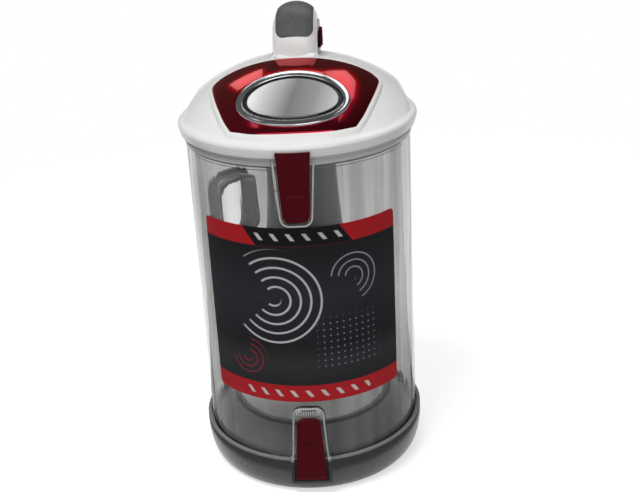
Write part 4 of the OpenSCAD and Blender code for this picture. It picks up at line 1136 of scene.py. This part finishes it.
def panel_outline():
    """Evenly spaced points of the panel's outline and their outward directions."""
    radius = bpy.context.scene.dustbin_panel.corner_r
    corners = [Vector(point) * MM for point in PANEL_CORNERS]
    points = []
    for i, corner in enumerate(corners):
        points += outline_corner(corners[i - 1], corner, corners[(i + 1) % len(corners)], radius)
    lengths = [0.0]
    for i, point in enumerate(points):
        lengths.append(lengths[-1] + (points[(i + 1) % len(points)] - point).length)
    even, index = [], 0
    for k in range(PANEL_STEPS):
        goal = lengths[-1] * k / PANEL_STEPS
        while lengths[index + 1] < goal:
            index += 1
        share = (goal - lengths[index]) / max(lengths[index + 1] - lengths[index], 1e-9)
        even.append(points[index].lerp(points[(index + 1) % len(points)], share))
    outward = []
    for k, point in enumerate(even):
        side = even[(k + 2) % PANEL_STEPS] - even[k - 2]
        outward.append(Vector((side.y, -side.x)).normalized())
    return even, outward


def on_panel_edge(outline, u, offset, rise):
    """Point beside the panel's outline, at a height above the dome."""
    even, outward = outline
    index = round(u * PANEL_STEPS) % PANEL_STEPS
    point = even[index] + outward[index] * offset
    return (point.x, point.y, dome_z(point.x, point.y, rise))


def edge_band(name, outline, profile):
    """Band along the panel's outline, with (offset, rise) points."""
    rows = len(profile) - 1
    return grid_piece(
        name, PANEL_STEPS, rows, lambda u, v: on_panel_edge(outline, u, *profile[round(v * rows)])
    )


def panel_bead(outline):
    """White bead that frames the panel."""
    sizes = bpy.context.scene.dustbin_panel
    w, h = sizes.bead_w, sizes.bead_rise
    profile = [(w + 0.0006, -0.0004), (w + 0.0002, 0.0001), (w - 0.0003, h * 0.6), (w - 0.001, h * 0.95), (w / 2, h)]
    profile += [(0.0002, h), (-0.0003, h * 0.6), (-0.0004, -0.0004)]
    return edge_band("lid_bead", outline, profile)


def panel_plate(outline):
    """Red panel with a rounded edge that follows the dome."""
    sizes = bpy.context.scene.dustbin_panel
    rise = sizes.rise
    edge = [(0.0, 0.0002), (0.0, rise * 0.45), (-0.0002, rise * 0.62), (-0.0007, rise * 0.8), (-0.0014, rise * 0.93), (-0.0024, rise)]
    rings = 26
    rows = len(edge) - 1 + rings
    middle = Vector((0, sizes.centre_y))
    even, outward = outline

    def where(u, v):
        row = round(v * rows)
        if row < len(edge):
            return on_panel_edge(outline, u, *edge[row])
        index = round(u * PANEL_STEPS) % PANEL_STEPS
        share = (row - len(edge) + 1) / rings
        point = (even[index] + outward[index] * edge[-1][0]).lerp(middle, share)
        return (point.x, point.y, dome_z(point.x, point.y, rise))

    return grid_piece("panel_skin", PANEL_STEPS, rows, where)


def plinth_block(name, parting_y, side, top_z):
    """Rounded foot on which a leg of the handle stands."""
    sizes = bpy.context.scene.dustbin_handle
    edge = 0.0008
    half_w = sizes.belly_half_w + edge
    depth = sizes.crown_t + sizes.belly_t + 2 * edge
    middle = parting_y + side * (sizes.crown_t - sizes.belly_t) / 2
    low, high = (-half_w, middle - depth / 2), (half_w, middle + depth / 2)
    piece = rounded_box(name, (*low, top_z - 0.008), (*high, top_z), 0.0004, 1)
    edit_upright_edges(piece, 0.0042)
    bevel(piece, 0.0005, 2)
    return piece


def edit_upright_edges(piece, radius):
    """Rounds only the upright edges of a block."""
    edit_all(piece)
    bpy.ops.mesh.select_all(action="DESELECT")
    leave_edit()
    for edge in piece.data.edges:
        a, b = (piece.data.vertices[i].co for i in edge.vertices)
        edge.select = abs(a.z - b.z) > 0.004
    only(piece)
    bpy.ops.object.mode_set(mode="EDIT")
    bpy.ops.mesh.select_mode(type="EDGE")
    bpy.ops.mesh.bevel(offset=radius, offset_type="OFFSET", segments=8, affect="EDGES", clamp_overlap=False)
    leave_edit()


class DUSTBIN_OT_lid(bpy.types.Operator):
    """Models the white lid with its bead, its feet for the handle and its hinge"""

    bl_idname = "dustbin.lid"
    bl_label = "Lid"

    def execute(self, context):
        handle = context.scene.dustbin_handle
        skin = lid_skin()
        seat = latch_notch(skin)
        smooth(skin, 28)
        bead = panel_bead(panel_outline())
        smooth(bead, 50)
        feet = [
            plinth_block("foot_front", handle.front_y, -1, handle.front_foot_z),
            plinth_block("foot_rear", handle.rear_y, 1, handle.rear_foot_z),
        ]
        for foot in feet:
            smooth(foot, 40)
        web = rounded_box("hinge_web", (-0.013, 0.088, 0.2862), (0.013, 0.0985, 0.2916), 0.0008, 3)
        knuckle = cylinder_between("hinge_knuckle", (-0.013, 0.098, 0.288), (0.013, 0.098, 0.288), 0.0041)
        for part in (web, knuckle, seat):
            smooth(part, 40)
        lid = join("lid", [skin, bead, *feet, web, knuckle, seat])
        place(lid, "lid", "lid_white", FINISHES["lid_white"], "lid_shell")
        return {"FINISHED"}


# Trim panel and badge


def badge_point(turn, inset, rise):
    """Point of the badge's oval, at an inset from its rim and a height above the dome."""
    sizes = bpy.context.scene.dustbin_badge
    lid = bpy.context.scene.dustbin_lid
    slope = math.asin((lid.dome_back - sizes.middle_y) / lid.dome_ry)
    across = max(sizes.half_w - inset, 0.0) * math.cos(turn)
    back = max(sizes.half_l - inset, 0.0) * math.sin(turn)
    back -= sizes.rear_width * min(max(inset / sizes.ring_w, 0.0), 1.0) * (1 + math.sin(turn)) / 2
    y0 = sizes.middle_y + back * math.cos(slope)
    z0 = dome_z(0, sizes.middle_y) + back * math.sin(slope)
    height = 0.0
    for _ in range(8):
        y, z = y0 - height * math.sin(slope), z0 + height * math.cos(slope)
        height += (dome_z(across, y, rise) - z) * math.cos(slope)
    return (across, y0 - height * math.sin(slope), z0 + height * math.cos(slope))


def oval_band(name, profile, closed_middle=False):
    """Band of the badge with (inset, rise) points."""
    turns, rows = 160, len(profile) - 1

    def where(u, v):
        turn = math.tau * (round(u * turns) % turns) / turns
        inset, rise = profile[round(v * rows)]
        return badge_point(turn, inset, rise)

    return grid_piece(name, turns, rows, where)


class DUSTBIN_OT_panel(bpy.types.Operator):
    """Models the red trim panel"""

    bl_idname = "dustbin.panel"
    bl_label = "Trim Panel"

    def execute(self, context):
        plate = panel_plate(panel_outline())
        smooth(plate, 40)
        place(plate, "lid", "panel_red", FINISHES["panel_red"], "trim_panel")
        return {"FINISHED"}


class DUSTBIN_OT_badge(bpy.types.Operator):
    """Models the badge: a bright ring, a dark border and a bare plate"""

    bl_idname = "dustbin.badge"
    bl_label = "Badge"

    def execute(self, context):
        sizes = context.scene.dustbin_badge
        base = context.scene.dustbin_panel.rise
        top, width = base + sizes.ring_rise, sizes.ring_w
        shape = ((0.0, 0.3), (0.02, 0.66), (0.06, 0.88), (0.12, 0.97), (0.2, 1.0), (0.8, 1.0), (0.88, 0.94),
                 (0.94, 0.8), (0.98, 0.6), (1.0, 0.3))
        arc = [(width * across, base + (top - base) * high) for across, high in shape]
        ring = oval_band("badge_rim", [(0.0, base - 0.0003)] + arc + [(width, base - 0.0003)])
        smooth(ring, 60)
        place(ring, "lid", "bright_chrome", FINISHES["bright_chrome"], "badge_ring")
        inner = width + sizes.border_w
        low = base + 0.0003
        dip = [(width - 0.0002, low + 0.0008), (width + 0.0006, low + 0.0003), (width + 0.002, low), (inner - 0.0008, low + 0.0001), (inner, low + 0.0007), (inner + 0.0003, base - 0.0003)]
        border = oval_band("badge_well", [(width - 0.0002, base - 0.0003)] + dip)
        smooth(border, 60)
        place(border, "lid", "gloss_black", FINISHES["gloss_black"], "badge_border")
        high = base + sizes.plate_rise
        slope = [(inner + 0.0002, base), (inner + 0.0002, high - 0.0005), (inner + 0.0005, high - 0.0001), (inner + 0.0011, high)]
        reach = sizes.half_l - inner
        field = [(inner + 0.0011 + (reach - 0.0011) * i / 14, high) for i in range(1, 15)]
        plate = oval_band("badge_face", slope + field)
        smooth(plate, 60)
        place(plate, "lid", "badge_silver", FINISHES["badge_silver"], "badge_plate")
        return {"FINISHED"}


# Handle


def arch_stations():
    """Places along the handle's parting line: y, z, angle of its outward side, and the way from the start."""
    sizes = bpy.context.scene.dustbin_handle
    r, bend_z = sizes.bend_r, sizes.bend_z
    places = []
    for i in range(5):
        places.append((sizes.front_y, sizes.front_foot_z + (bend_z - sizes.front_foot_z) * i / 5, math.pi))
    for i in range(21):
        a = math.pi / 2 * i / 20
        places.append((sizes.front_y + r - r * math.cos(a), bend_z + r * math.sin(a), math.pi - a))
    span = sizes.rear_y - sizes.front_y - 2 * r
    for i in range(1, 6):
        places.append((sizes.front_y + r + span * i / 6, bend_z + r, math.pi / 2))
    for i in range(21):
        a = math.pi / 2 * (1 - i / 20)
        places.append((sizes.rear_y - r + r * math.cos(a), bend_z + r * math.sin(a), a))
    for i in range(1, 8):
        places.append((sizes.rear_y, bend_z + (sizes.rear_foot_z - bend_z) * i / 7, 0.0))
    way, result = 0.0, []
    for i, (y, z, a) in enumerate(places):
        if i:
            way += math.hypot(y - places[i - 1][0], z - places[i - 1][1])
        result.append((y, z, a, way))
    return result


def on_arch(station, across, out):
    """Point beside the parting line, across the handle and out of it."""
    y, z, angle = station[:3]
    return (across, y + out * math.cos(angle), z + out * math.sin(angle))


def swell(way, total):
    """How much fuller the upper shell is at a place along the arch."""
    rise = math.sin(math.pi * min(max(way / total, 0.0), 1.0)) ** 1.5
    return 1 + bpy.context.scene.dustbin_handle.crown_swell * rise


def squared_oval(angle, half_w, height, shares):
    c, s = math.cos(angle), math.sin(angle)
    return (
        half_w * math.copysign(abs(c) ** (2 / shares), c),
        height * math.copysign(abs(s) ** (2 / shares), s),
    )


def shell_of_arch(name, half_w, height, shares, start, flare=0.0, fuller=False, rear_w=None):
    """One shell of the handle, closed along the parting line and at both feet."""
    stations = arch_stations()
    around = 56
    rows = len(stations) + 1

    def where(u, v):
        row = min(max(round(v * rows) - 1, 0), len(stations) - 1)
        station = stations[row]
        end = round(v * rows) in (0, rows)
        angle = start + math.pi * min(u * 8 / 7, 1.0)
        spread = flare * max(1 - station[3] / 0.010, 0.0) ** 2
        if rear_w:
            spread += (rear_w - half_w) * station[3] / stations[-1][3]
        tall = height * swell(station[3], stations[-1][3]) if fuller else height
        x, out = squared_oval(angle, half_w + spread, tall, shares)
        if u > 7 / 8:
            share = (u - 7 / 8) * 8
            x, out = x * (1 - 2 * share), 0.0
        if end:
            x, out = 0.0, height * 0.4 * math.copysign(1, math.sin(start + 0.1))
        return on_arch(station, x, out)

    return grid_piece(name, around, rows, where)


def rounded_row(distance, half_w, radius):
    """Half width of a plate with rounded corners at a distance from its end."""
    if distance >= radius:
        return half_w
    return half_w - radius + math.sqrt(max(radius**2 - (radius - distance) ** 2, 0.0))


def grip_cover(start_z):
    """Soft grip with rounded corners, laid over the upper shell."""
    sizes = bpy.context.scene.dustbin_handle
    stations = arch_stations()
    first = next(s for s in stations if s[1] >= start_z)[3]
    last = [s for s in stations if s[1] >= start_z][-1][3]
    columns, rows, radius, edge = 40, 84, 0.0062, 0.0011

    def station_at(way):
        for a, b in zip(stations, stations[1:]):
            if b[3] >= way:
                share = (way - a[3]) / (b[3] - a[3])
                return tuple(p + (q - p) * share for p, q in zip(a, b))
        return stations[-1]

    def where(u, v):
        way = (last - first) * (0.5 - 0.5 * math.cos(math.pi * v))
        from_end = min(way, last - first - way)
        half_w = rounded_row(from_end, sizes.pad_half_w, radius)
        x = half_w * -math.cos(math.pi * u)
        shares = 2.05
        tall = sizes.crown_t * swell(first + way, stations[-1][3])
        out = tall * (1 - (abs(x) / sizes.half_w) ** shares) ** (1 / shares)
        inside = min(half_w - abs(x), from_end)
        rise = sizes.pad_rise * math.sqrt(max(1 - max(1 - inside / edge, 0.0) ** 2, 0.0)) - 0.00015
        if inside < 1e-6:
            rise = -0.0006
        return on_arch(station_at(first + way), x * (1 + rise / sizes.half_w), out + rise)

    return grid_piece("grip_cover", columns, rows, where, solid=False)


class DUSTBIN_OT_handle(bpy.types.Operator):
    """Models the handle's two shells and its soft grip"""

    bl_idname = "dustbin.handle"
    bl_label = "Handle"

    def execute(self, context):
        sizes = context.scene.dustbin_handle
        crown = shell_of_arch("handle_upper", sizes.half_w, sizes.crown_t, 2.05, 0.0, fuller=True)
        smooth(crown, 40)
        place(crown, "lid", "lid_white", FINISHES["lid_white"], "handle_crown")
        belly = shell_of_arch("handle_lower", sizes.belly_half_w, sizes.belly_t, 4.5, math.pi, 0.0012, rear_w=sizes.rear_half_w)
        for side in (-1, 1):
            pocket = rounded_box("pocket", (0.0140 * side, 0.0743, 0.3260), (0.022 * side, 0.0823, 0.3420), 0.0012, 2)
            cut(belly, pocket)
        smooth(belly, 40)
        place(belly, "lid", "handle_red", FINISHES["handle_red"], "handle_belly")
        grip = grip_cover(sizes.grip_from_z)
        edit_all(grip)
        bpy.ops.mesh.normals_make_consistent(inside=False)
        leave_edit()
        thicken(grip, 0.0009)
        smooth(grip, 60)
        place(grip, "lid", "soft_grip", FINISHES["soft_grip"], "grip_pad")
        return {"FINISHED"}


def thicken(piece, depth):
    """Gives a sheet a depth behind its outer face."""
    only(piece)
    modifier = piece.modifiers.new("wall", "SOLIDIFY")
    modifier.thickness = depth
    modifier.offset = -1.0
    bpy.ops.object.modifier_apply(modifier=modifier.name)


class DUSTBIN_OT_tabs(bpy.types.Operator):
    """Models the two release tabs in the handle's rear leg"""

    bl_idname = "dustbin.tabs"
    bl_label = "Release Tabs"

    def execute(self, context):
        sizes = context.scene.dustbin_handle
        for side, name in ((-1, "left"), (1, "right")):
            tab = node_copy("release_tab_" + name, "tab_" + name)
            edit_all(tab)
            bpy.ops.mesh.bisect(
                plane_co=(sizes.rear_half_w * side + 0.0011 * side, 0, 0), plane_no=(side, 0, 0), use_fill=True, clear_outer=True
            )
            leave_edit()
            bevel(tab, 0.0005, 3)
            ribs = []
            low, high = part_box("release_tab_" + name)
            outer = (sizes.rear_half_w + 0.0010) * side
            for i in range(5):
                z = low.z + (high.z - low.z) * (0.24 + 0.13 * i)
                ribs.append(cylinder_between("rib", (outer, low.y + 0.0014, z), (outer, high.y - 0.0014, z), 0.00035, 16))
            tab = join("tab_" + name, [tab, *ribs])
            smooth(tab, 35)
            place(tab, "tab_" + name, "latch_red", FINISHES["latch_red"], "release_tab_" + name)
        return {"FINISHED"}


# Latches and their clear surrounds


def outline_on_wall(points, radius):
    """Points of (way across, height) laid on a cylinder round the bin's axis."""
    return [(x, -math.sqrt(max(radius**2 - x * x, 0.0)), z) for x, z in points]


def tongue_outline(wide_x, wide_z, thin_x, thin_z, corner_r, steps=10):
    """U-shaped line from one wide end, round the narrow end, to the other."""
    side = -1 if thin_z < wide_z else 1
    points = [(wide_x + (thin_x - wide_x) * i / 12, wide_z + (thin_z - side * corner_r - wide_z) * i / 12) for i in range(13)]
    for i in range(1, steps + 1):
        a = math.pi / 2 * i / steps
        points.append((thin_x - corner_r + corner_r * math.cos(a), thin_z - side * corner_r * (1 - math.sin(a))))
    points += [((thin_x - corner_r) * (1 - i / 4), thin_z) for i in range(1, 4)]
    return points + [(-x, z) for x, z in reversed(points)]


def bead_along(name, path, radius, sides=10):
    """Round bead that follows a path."""
    curve = bpy.data.curves.new(name, "CURVE")
    curve.dimensions = "3D"
    curve.bevel_depth = radius
    curve.bevel_resolution = sides // 4
    curve.use_fill_caps = True
    spline = curve.splines.new("POLY")
    spline.points.add(len(path) - 1)
    for point, place_of in zip(spline.points, path):
        point.co = (*place_of, 1.0)
    bead = bpy.data.objects.new(name, curve)
    bpy.context.scene.collection.objects.link(bead)
    only(bead)
    bpy.ops.object.convert(target="MESH")
    bead = bpy.context.object
    close_mesh(bead)
    smooth(bead, 60)
    return bead


def latch_piece(node, name):
    """Latch with softened edges."""
    latch = node_copy(node, name)
    bevel(latch, 0.0007, 4, 40)
    only(latch)
    even = latch.modifiers.new("even shading", "WEIGHTED_NORMAL")
    even.keep_sharp = True
    smooth(latch, 35)
    only(latch)
    bpy.ops.object.modifier_apply(modifier="even shading")
    return latch


class DUSTBIN_OT_latches(bpy.types.Operator):
    """Models the two latches, and the lips and ribs of their clear surrounds"""

    bl_idname = "dustbin.latches"
    bl_label = "Latches"

    def execute(self, context):
        upper = latch_piece("lid_latch", "latch_upper")
        place(upper, "lid_latch", "latch_red", FINISHES["latch_red"], "lid_latch")
        lower = latch_piece("door_latch", "latch_lower")
        place(lower, "door_latch", "latch_red", FINISHES["latch_red"], "door_latch")
        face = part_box("cup_shell")[0].y
        radius = abs(face)
        top = tongue_outline(0.0146, 0.2825, 0.0117, 0.2331, 0.0066)
        base = tongue_outline(0.0143, 0.0300, 0.0116, 0.0803, 0.0062)
        lips = []
        for name, points in (("upper", top), ("lower", base)):
            lips.append(bead_along("lip_" + name, outline_on_wall(points, radius - 0.0001), 0.00062))
        for i in range(11):
            x = -0.0090 + 0.0018 * i
            drop = 0.0030 * (abs(x) / 0.0090) ** 3
            path = [(x, 0.0732), (x, 0.0760), (x, 0.0794 - drop)]
            lips.append(bead_along("rib", outline_on_wall(path, radius - 0.0016), 0.00034, 8))
        # pale frosted band round the cup's top bead, a painted highlight where the clear rim shows light under the
        # skirt
        band = [
            (0.08803, 0.2774), (0.0883, 0.2775), (0.0883, 0.27945), (0.08898, 0.2796), (0.08898, 0.28105),
            (0.0883, 0.2812), (0.0883, 0.2836), (0.08803, 0.2837),
        ]
        lips.append(spin_profile("rim_band", band + band[:1], 192))
        surround = join("clear_lips", lips)
        smooth(surround, 50)
        # the pale lips, ribs and band are partly real frosted edges and partly painted highlights
        place(surround, "cup", "clear_plastic", FINISHES["frosted_clear_painted_highlight"])
        return {"FINISHED"}


# Label


class LabelSizes(bpy.types.PropertyGroup):
    radius: FloatProperty(name="Radius", description="Radius of the film's face", default=0.0883, unit="LENGTH")
    depth: FloatProperty(name="Thickness", description="Thickness of the film", default=0.0003, unit="LENGTH")
    low_z: FloatProperty(name="Lower edge", description="Height of its lower edge", default=0.084, unit="LENGTH")
    top_z: FloatProperty(name="Upper edge", description="Height of its upper edge", default=0.230, unit="LENGTH")
    half_angle: FloatProperty(
        name="Half angle", description="How far it reaches round the cup", default=math.radians(53.5), subtype="ANGLE"
    )
    corner_r: FloatProperty(name="Corner radius", description="Rounding of its corners", default=0.004, unit="LENGTH")
    band_h: FloatProperty(name="Band height", description="Height of the red bands", default=0.0145, unit="LENGTH")


def film_places(tree, where):
    """Way round the cup from the middle of the front, in metres, and the height."""
    split = add(tree, "ShaderNodeSeparateXYZ")
    tree.links.new(where, split.inputs[0])
    turn = maths(tree, "ARCTAN2", split.outputs["X"], maths(tree, "MULTIPLY", split.outputs["Y"], -1.0))
    return maths(tree, "MULTIPLY", turn, 0.088), split.outputs["Z"]


def arc_strokes(tree, way, height, middle, pitch, width, reach, first, last):
    """Rings round a point, kept between two directions, as strokes of an air swirl."""
    dx = maths(tree, "SUBTRACT", way, middle[0])
    dz = maths(tree, "SUBTRACT", height, middle[1])
    squares = maths(tree, "ADD", maths(tree, "MULTIPLY", dx, dx), maths(tree, "MULTIPLY", dz, dz))
    distance = maths(tree, "SQRT", squares)
    turn = maths(tree, "ARCTAN2", dz, dx)
    drifted = maths(tree, "MULTIPLY_ADD", turn, pitch / (2 * math.pi))
    tree.links.new(distance, drifted.node.inputs[2])
    lane = maths(tree, "MODULO", maths(tree, "ADD", drifted, pitch * 4), pitch)
    stroke = band_mask(tree, lane, pitch / 2 - width, pitch / 2 + width)
    inside = band_mask(tree, distance, reach[0], reach[1], 0.0006)
    sector = band_mask(tree, turn, first, last, 0.03)
    return maths(tree, "MULTIPLY", maths(tree, "MULTIPLY", stroke, inside), sector)


def dot_rows(tree, way, height, pitch, radius):
    """Rows of small round dots."""
    dx = maths(tree, "SUBTRACT", maths(tree, "PINGPONG", way, pitch / 2), 0.0)
    dz = maths(tree, "SUBTRACT", maths(tree, "PINGPONG", height, pitch / 2), 0.0)
    squares = maths(tree, "ADD", maths(tree, "MULTIPLY", dx, dx), maths(tree, "MULTIPLY", dz, dz))
    return band_mask(tree, maths(tree, "SQRT", squares), -1.0, radius, 0.0002)


def make_label_film(groups):
    """Printed film: a dark field with swirls of air and dots between two red bands."""
    sizes = bpy.context.scene.dustbin_label
    red = tuple(bpy.context.scene.dustbin_colours.label_red)
    material, tree, shader, where = new_material("Printed Label Film")
    way, height = film_places(tree, where)
    low, top, band = sizes.low_z, sizes.top_z, sizes.band_h
    share = add(tree, "ShaderNodeMapRange")
    share.inputs["From Min"].default_value, share.inputs["From Max"].default_value = low, top
    tree.links.new(height, share.inputs["Value"])
    cloud = add(tree, "ShaderNodeTexNoise", scale=24.0, detail=2.0)
    tree.links.new(where, cloud.inputs["Vector"])
    field = ramp(
        tree,
        share.outputs["Result"],
        [
            (0.0, (0.006, 0.006, 0.007)),
            (0.22, (0.030, 0.031, 0.034)),
            (0.34, (0.010, 0.010, 0.012)),
            (0.62, (0.022, 0.024, 0.030)),
            (0.9, (0.006, 0.006, 0.007)),
        ],
    )
    field = mixed(tree, maths(tree, "MULTIPLY", cloud.outputs["Fac"], 0.5), field, (0.028, 0.030, 0.036))
    mid = (low + top) / 2
    dots = dot_rows(tree, way, height, 0.0052, 0.0007)
    patch = band_mask(tree, way, 0.012, 0.060, 0.004)
    patch = maths(tree, "MULTIPLY", patch, band_mask(tree, height, low + 0.028, mid - 0.002, 0.002))
    field = mixed(tree, maths(tree, "MULTIPLY", dots, patch), field, (0.20, 0.21, 0.23))
    swirls = (
        ((-0.020, mid + 0.016), 0.0078, 0.0008, (0.005, 0.040), -2.4, 2.2, (0.50, 0.51, 0.52)),
        ((0.040, mid + 0.030), 0.0056, 0.0005, (0.004, 0.021), -1.2, 3.0, (0.30, 0.31, 0.33)),
        ((-0.046, low + 0.036), 0.0050, 0.0005, (0.003, 0.017), -3.0, 1.4, (0.26, 0.02, 0.03)),
    )
    for middle, pitch, width, reach, first, last, ink in swirls:
        strokes = arc_strokes(tree, way, height, middle, pitch, width, reach, first, last)
        field = mixed(tree, strokes, field, ink)
    for edge, end in ((low, low + band), (top - band, top)):
        strip = band_mask(tree, height, edge - 0.01 if edge == low else edge, end if edge == low else end + 0.01)
        field = mixed(tree, strip, field, red)
    lean = maths(tree, "ADD", way, maths(tree, "MULTIPLY", height, 0.7))
    centre_black = band_mask(tree, lean, 0.152 - 0.034, 0.152 + 0.040, 0.0004)
    upper = band_mask(tree, height, top - band, top + 0.01)
    field = mixed(tree, maths(tree, "MULTIPLY", centre_black, upper), field, (0.007, 0.007, 0.008))
    chevrons = maths(tree, "PINGPONG", maths(tree, "ADD", way, maths(tree, "MULTIPLY", height, 0.7)), 0.006)
    marks = band_mask(tree, chevrons, 0.0044, 1.0, 0.0003)
    upper_marks = maths(tree, "MULTIPLY", centre_black, band_mask(tree, height, top - band + 0.0045, top - 0.0045))
    field = mixed(tree, maths(tree, "MULTIPLY", marks, upper_marks), field, (0.55, 0.55, 0.54))
    lower = band_mask(tree, height, low + 0.0045, low + band - 0.0045)
    inner = band_mask(tree, way, -0.052, 0.052, 0.0004)
    field = mixed(
        tree, maths(tree, "MULTIPLY", maths(tree, "MULTIPLY", marks, lower), inner), field, (0.55, 0.52, 0.50)
    )
    film = place_group(tree, groups["dust"], where, amount=0.04)
    tree.links.new(mixed(tree, film.outputs["Mask"], field, (0.4, 0.4, 0.39)), shader.inputs["Base Color"])
    marks = place_group(tree, groups["scuffs"], where)
    rough = maths(tree, "MULTIPLY_ADD", marks.outputs["Mask"], 0.12)
    rough.node.inputs[2].default_value = 0.28
    tree.links.new(rough, shader.inputs["Roughness"])
    shader.inputs["Specular IOR Level"].default_value = 0.32
    bump(tree, cloud.outputs["Fac"], 0.00035, shader)
    return material


class DUSTBIN_OT_label(bpy.types.Operator):
    """Models the printed film on the clear wall"""

    bl_idname = "dustbin.label"
    bl_label = "Label"

    def execute(self, context):
        sizes = context.scene.dustbin_label
        half = sizes.half_angle * sizes.radius
        middle = (sizes.low_z + sizes.top_z) / 2
        tall = (sizes.top_z - sizes.low_z) / 2

        def where(u, v):
            z = -tall * math.cos(math.pi * v)
            in_corner = max(abs(z) - (tall - sizes.corner_r), 0.0)
            inset = sizes.corner_r - math.sqrt(max(sizes.corner_r**2 - in_corner**2, 0.0))
            turn = (half - inset) * (2 * u - 1) / sizes.radius
            return (sizes.radius * math.sin(turn), -sizes.radius * math.cos(turn), middle + z)

        film = grid_piece("label_film", 96, 72, where, solid=False)
        thicken(film, sizes.depth)
        close_mesh(film)
        smooth(film, 50)
        place(film, "cup", "label_film", FINISHES["label_film"], "label")
        return {"FINISHED"}


# Emptying door


class DUSTBIN_OT_door(bpy.types.Operator):
    """Softens the emptying door's edges and lays its dust floor"""

    bl_idname = "dustbin.door"
    bl_label = "Emptying Door"

    def execute(self, context):
        door = node_copy("base_door", "emptying_door")
        bevel(door, 0.0005, 2, 34)
        smooth(door, 28)
        place(door, "door", "door_grey", FINISHES["door_grey"], "base_door")
        floor = node_copy("floor_plate", "dust_floor")
        bevel(floor, 0.0006, 3, 40)
        smooth(floor, 30)
        place(floor, "door", "plate_grey", FINISHES["plate_grey"], "floor_plate")
        return {"FINISHED"}


NODE_SLOTS = {
    "cup_shell": "clear_plastic",
    "inlet_collar": "port_grey",
    "inlet_seal": "seal_rubber",
    "outlet_tube": "dark_plastic",
    "shroud": "dark_plastic",
    "screen_frame": "dark_plastic",
    "screen_hub": "dark_plastic",
    "dust_screen": "screen_steel",
    "label": "label_film",
    "lid_latch": "latch_red",
    "lid_latch_pin": "pin_steel",
    "lid_latch_spring": "pin_steel",
    "door_latch": "latch_red",
    "door_latch_pin": "pin_steel",
    "door_latch_spring": "pin_steel",
    "base_door": "door_grey",
    "door_seal": "seal_rubber",
    "floor_plate": "plate_grey",
    "floor_joint_ring": "seal_rubber",
    "outlet_seal": "seal_rubber",
    "door_hinge_pin": "pin_steel",
    "lid_shell": "lid_white",
    "lid_plug": "lid_white",
    "lid_seal": "seal_pale",
    "lid_hinge_pin": "pin_steel",
    "trim_panel": "panel_red",
    "badge_ring": "bright_chrome",
    "badge_border": "gloss_black",
    "badge_plate": "badge_silver",
    "handle_crown": "lid_white",
    "handle_belly": "handle_red",
    "grip_pad": "soft_grip",
    "release_tab_left": "latch_red",
    "release_tab_right": "latch_red",
    "tab_spring_left": "pin_steel",
    "tab_spring_right": "pin_steel",
    "handle_screws": "pin_steel",
}


class DUSTBIN_OT_dress(bpy.types.Operator):
    """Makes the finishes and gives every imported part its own"""

    bl_idname = "dustbin.dress"
    bl_label = "Finishes"

    def execute(self, context):
        FINISHES.update(make_finishes(context.scene.dustbin_colours))
        for node, slot in NODE_SLOTS.items():
            dress(node, FINISHES[slot])
        return {"FINISHED"}


class DUSTBIN_PT_panel(bpy.types.Panel):
    """Lists the bin's sizes and the steps that make it"""

    bl_idname = "DUSTBIN_PT_panel"
    bl_label = "Dust Bin"
    bl_space_type = "VIEW_3D"
    bl_region_type = "UI"
    bl_category = "Dust Bin"

    def draw(self, context):
        layout = self.layout
        for group in SETTINGS:
            settings = getattr(context.scene, group)
            box = layout.box()
            for name in settings.__annotations__:
                box.prop(settings, name)
        for step in STEPS:
            layout.operator(step.bl_idname)


SETTINGS = {
    "dustbin_lid": LidSizes,
    "dustbin_panel": PanelSizes,
    "dustbin_badge": BadgeSizes,
    "dustbin_handle": HandleSizes,
    "dustbin_label": LabelSizes,
    "dustbin_colours": FinishColours,
    "dustbin_stage": StageSettings,
}
STEPS = (
    DUSTBIN_OT_stage,
    DUSTBIN_OT_dress,
    DUSTBIN_OT_lid,
    DUSTBIN_OT_panel,
    DUSTBIN_OT_badge,
    DUSTBIN_OT_handle,
    DUSTBIN_OT_tabs,
    DUSTBIN_OT_latches,
    DUSTBIN_OT_label,
    DUSTBIN_OT_door,
)


def register():
    for item in (*SETTINGS.values(), *STEPS, DUSTBIN_PT_panel):
        bpy.utils.register_class(item)
    for name, settings in SETTINGS.items():
        setattr(bpy.types.Scene, name, PointerProperty(type=settings))


def unregister():
    for name in SETTINGS:
        delattr(bpy.types.Scene, name)
    for item in (DUSTBIN_PT_panel, *reversed(STEPS), *reversed(SETTINGS.values())):
        bpy.utils.unregister_class(item)


def main():
    register()
    for step in STEPS:
        category, name = step.bl_idname.split(".")
        getattr(getattr(bpy.ops, category), name)()


if __name__ == "__main__":
    main()
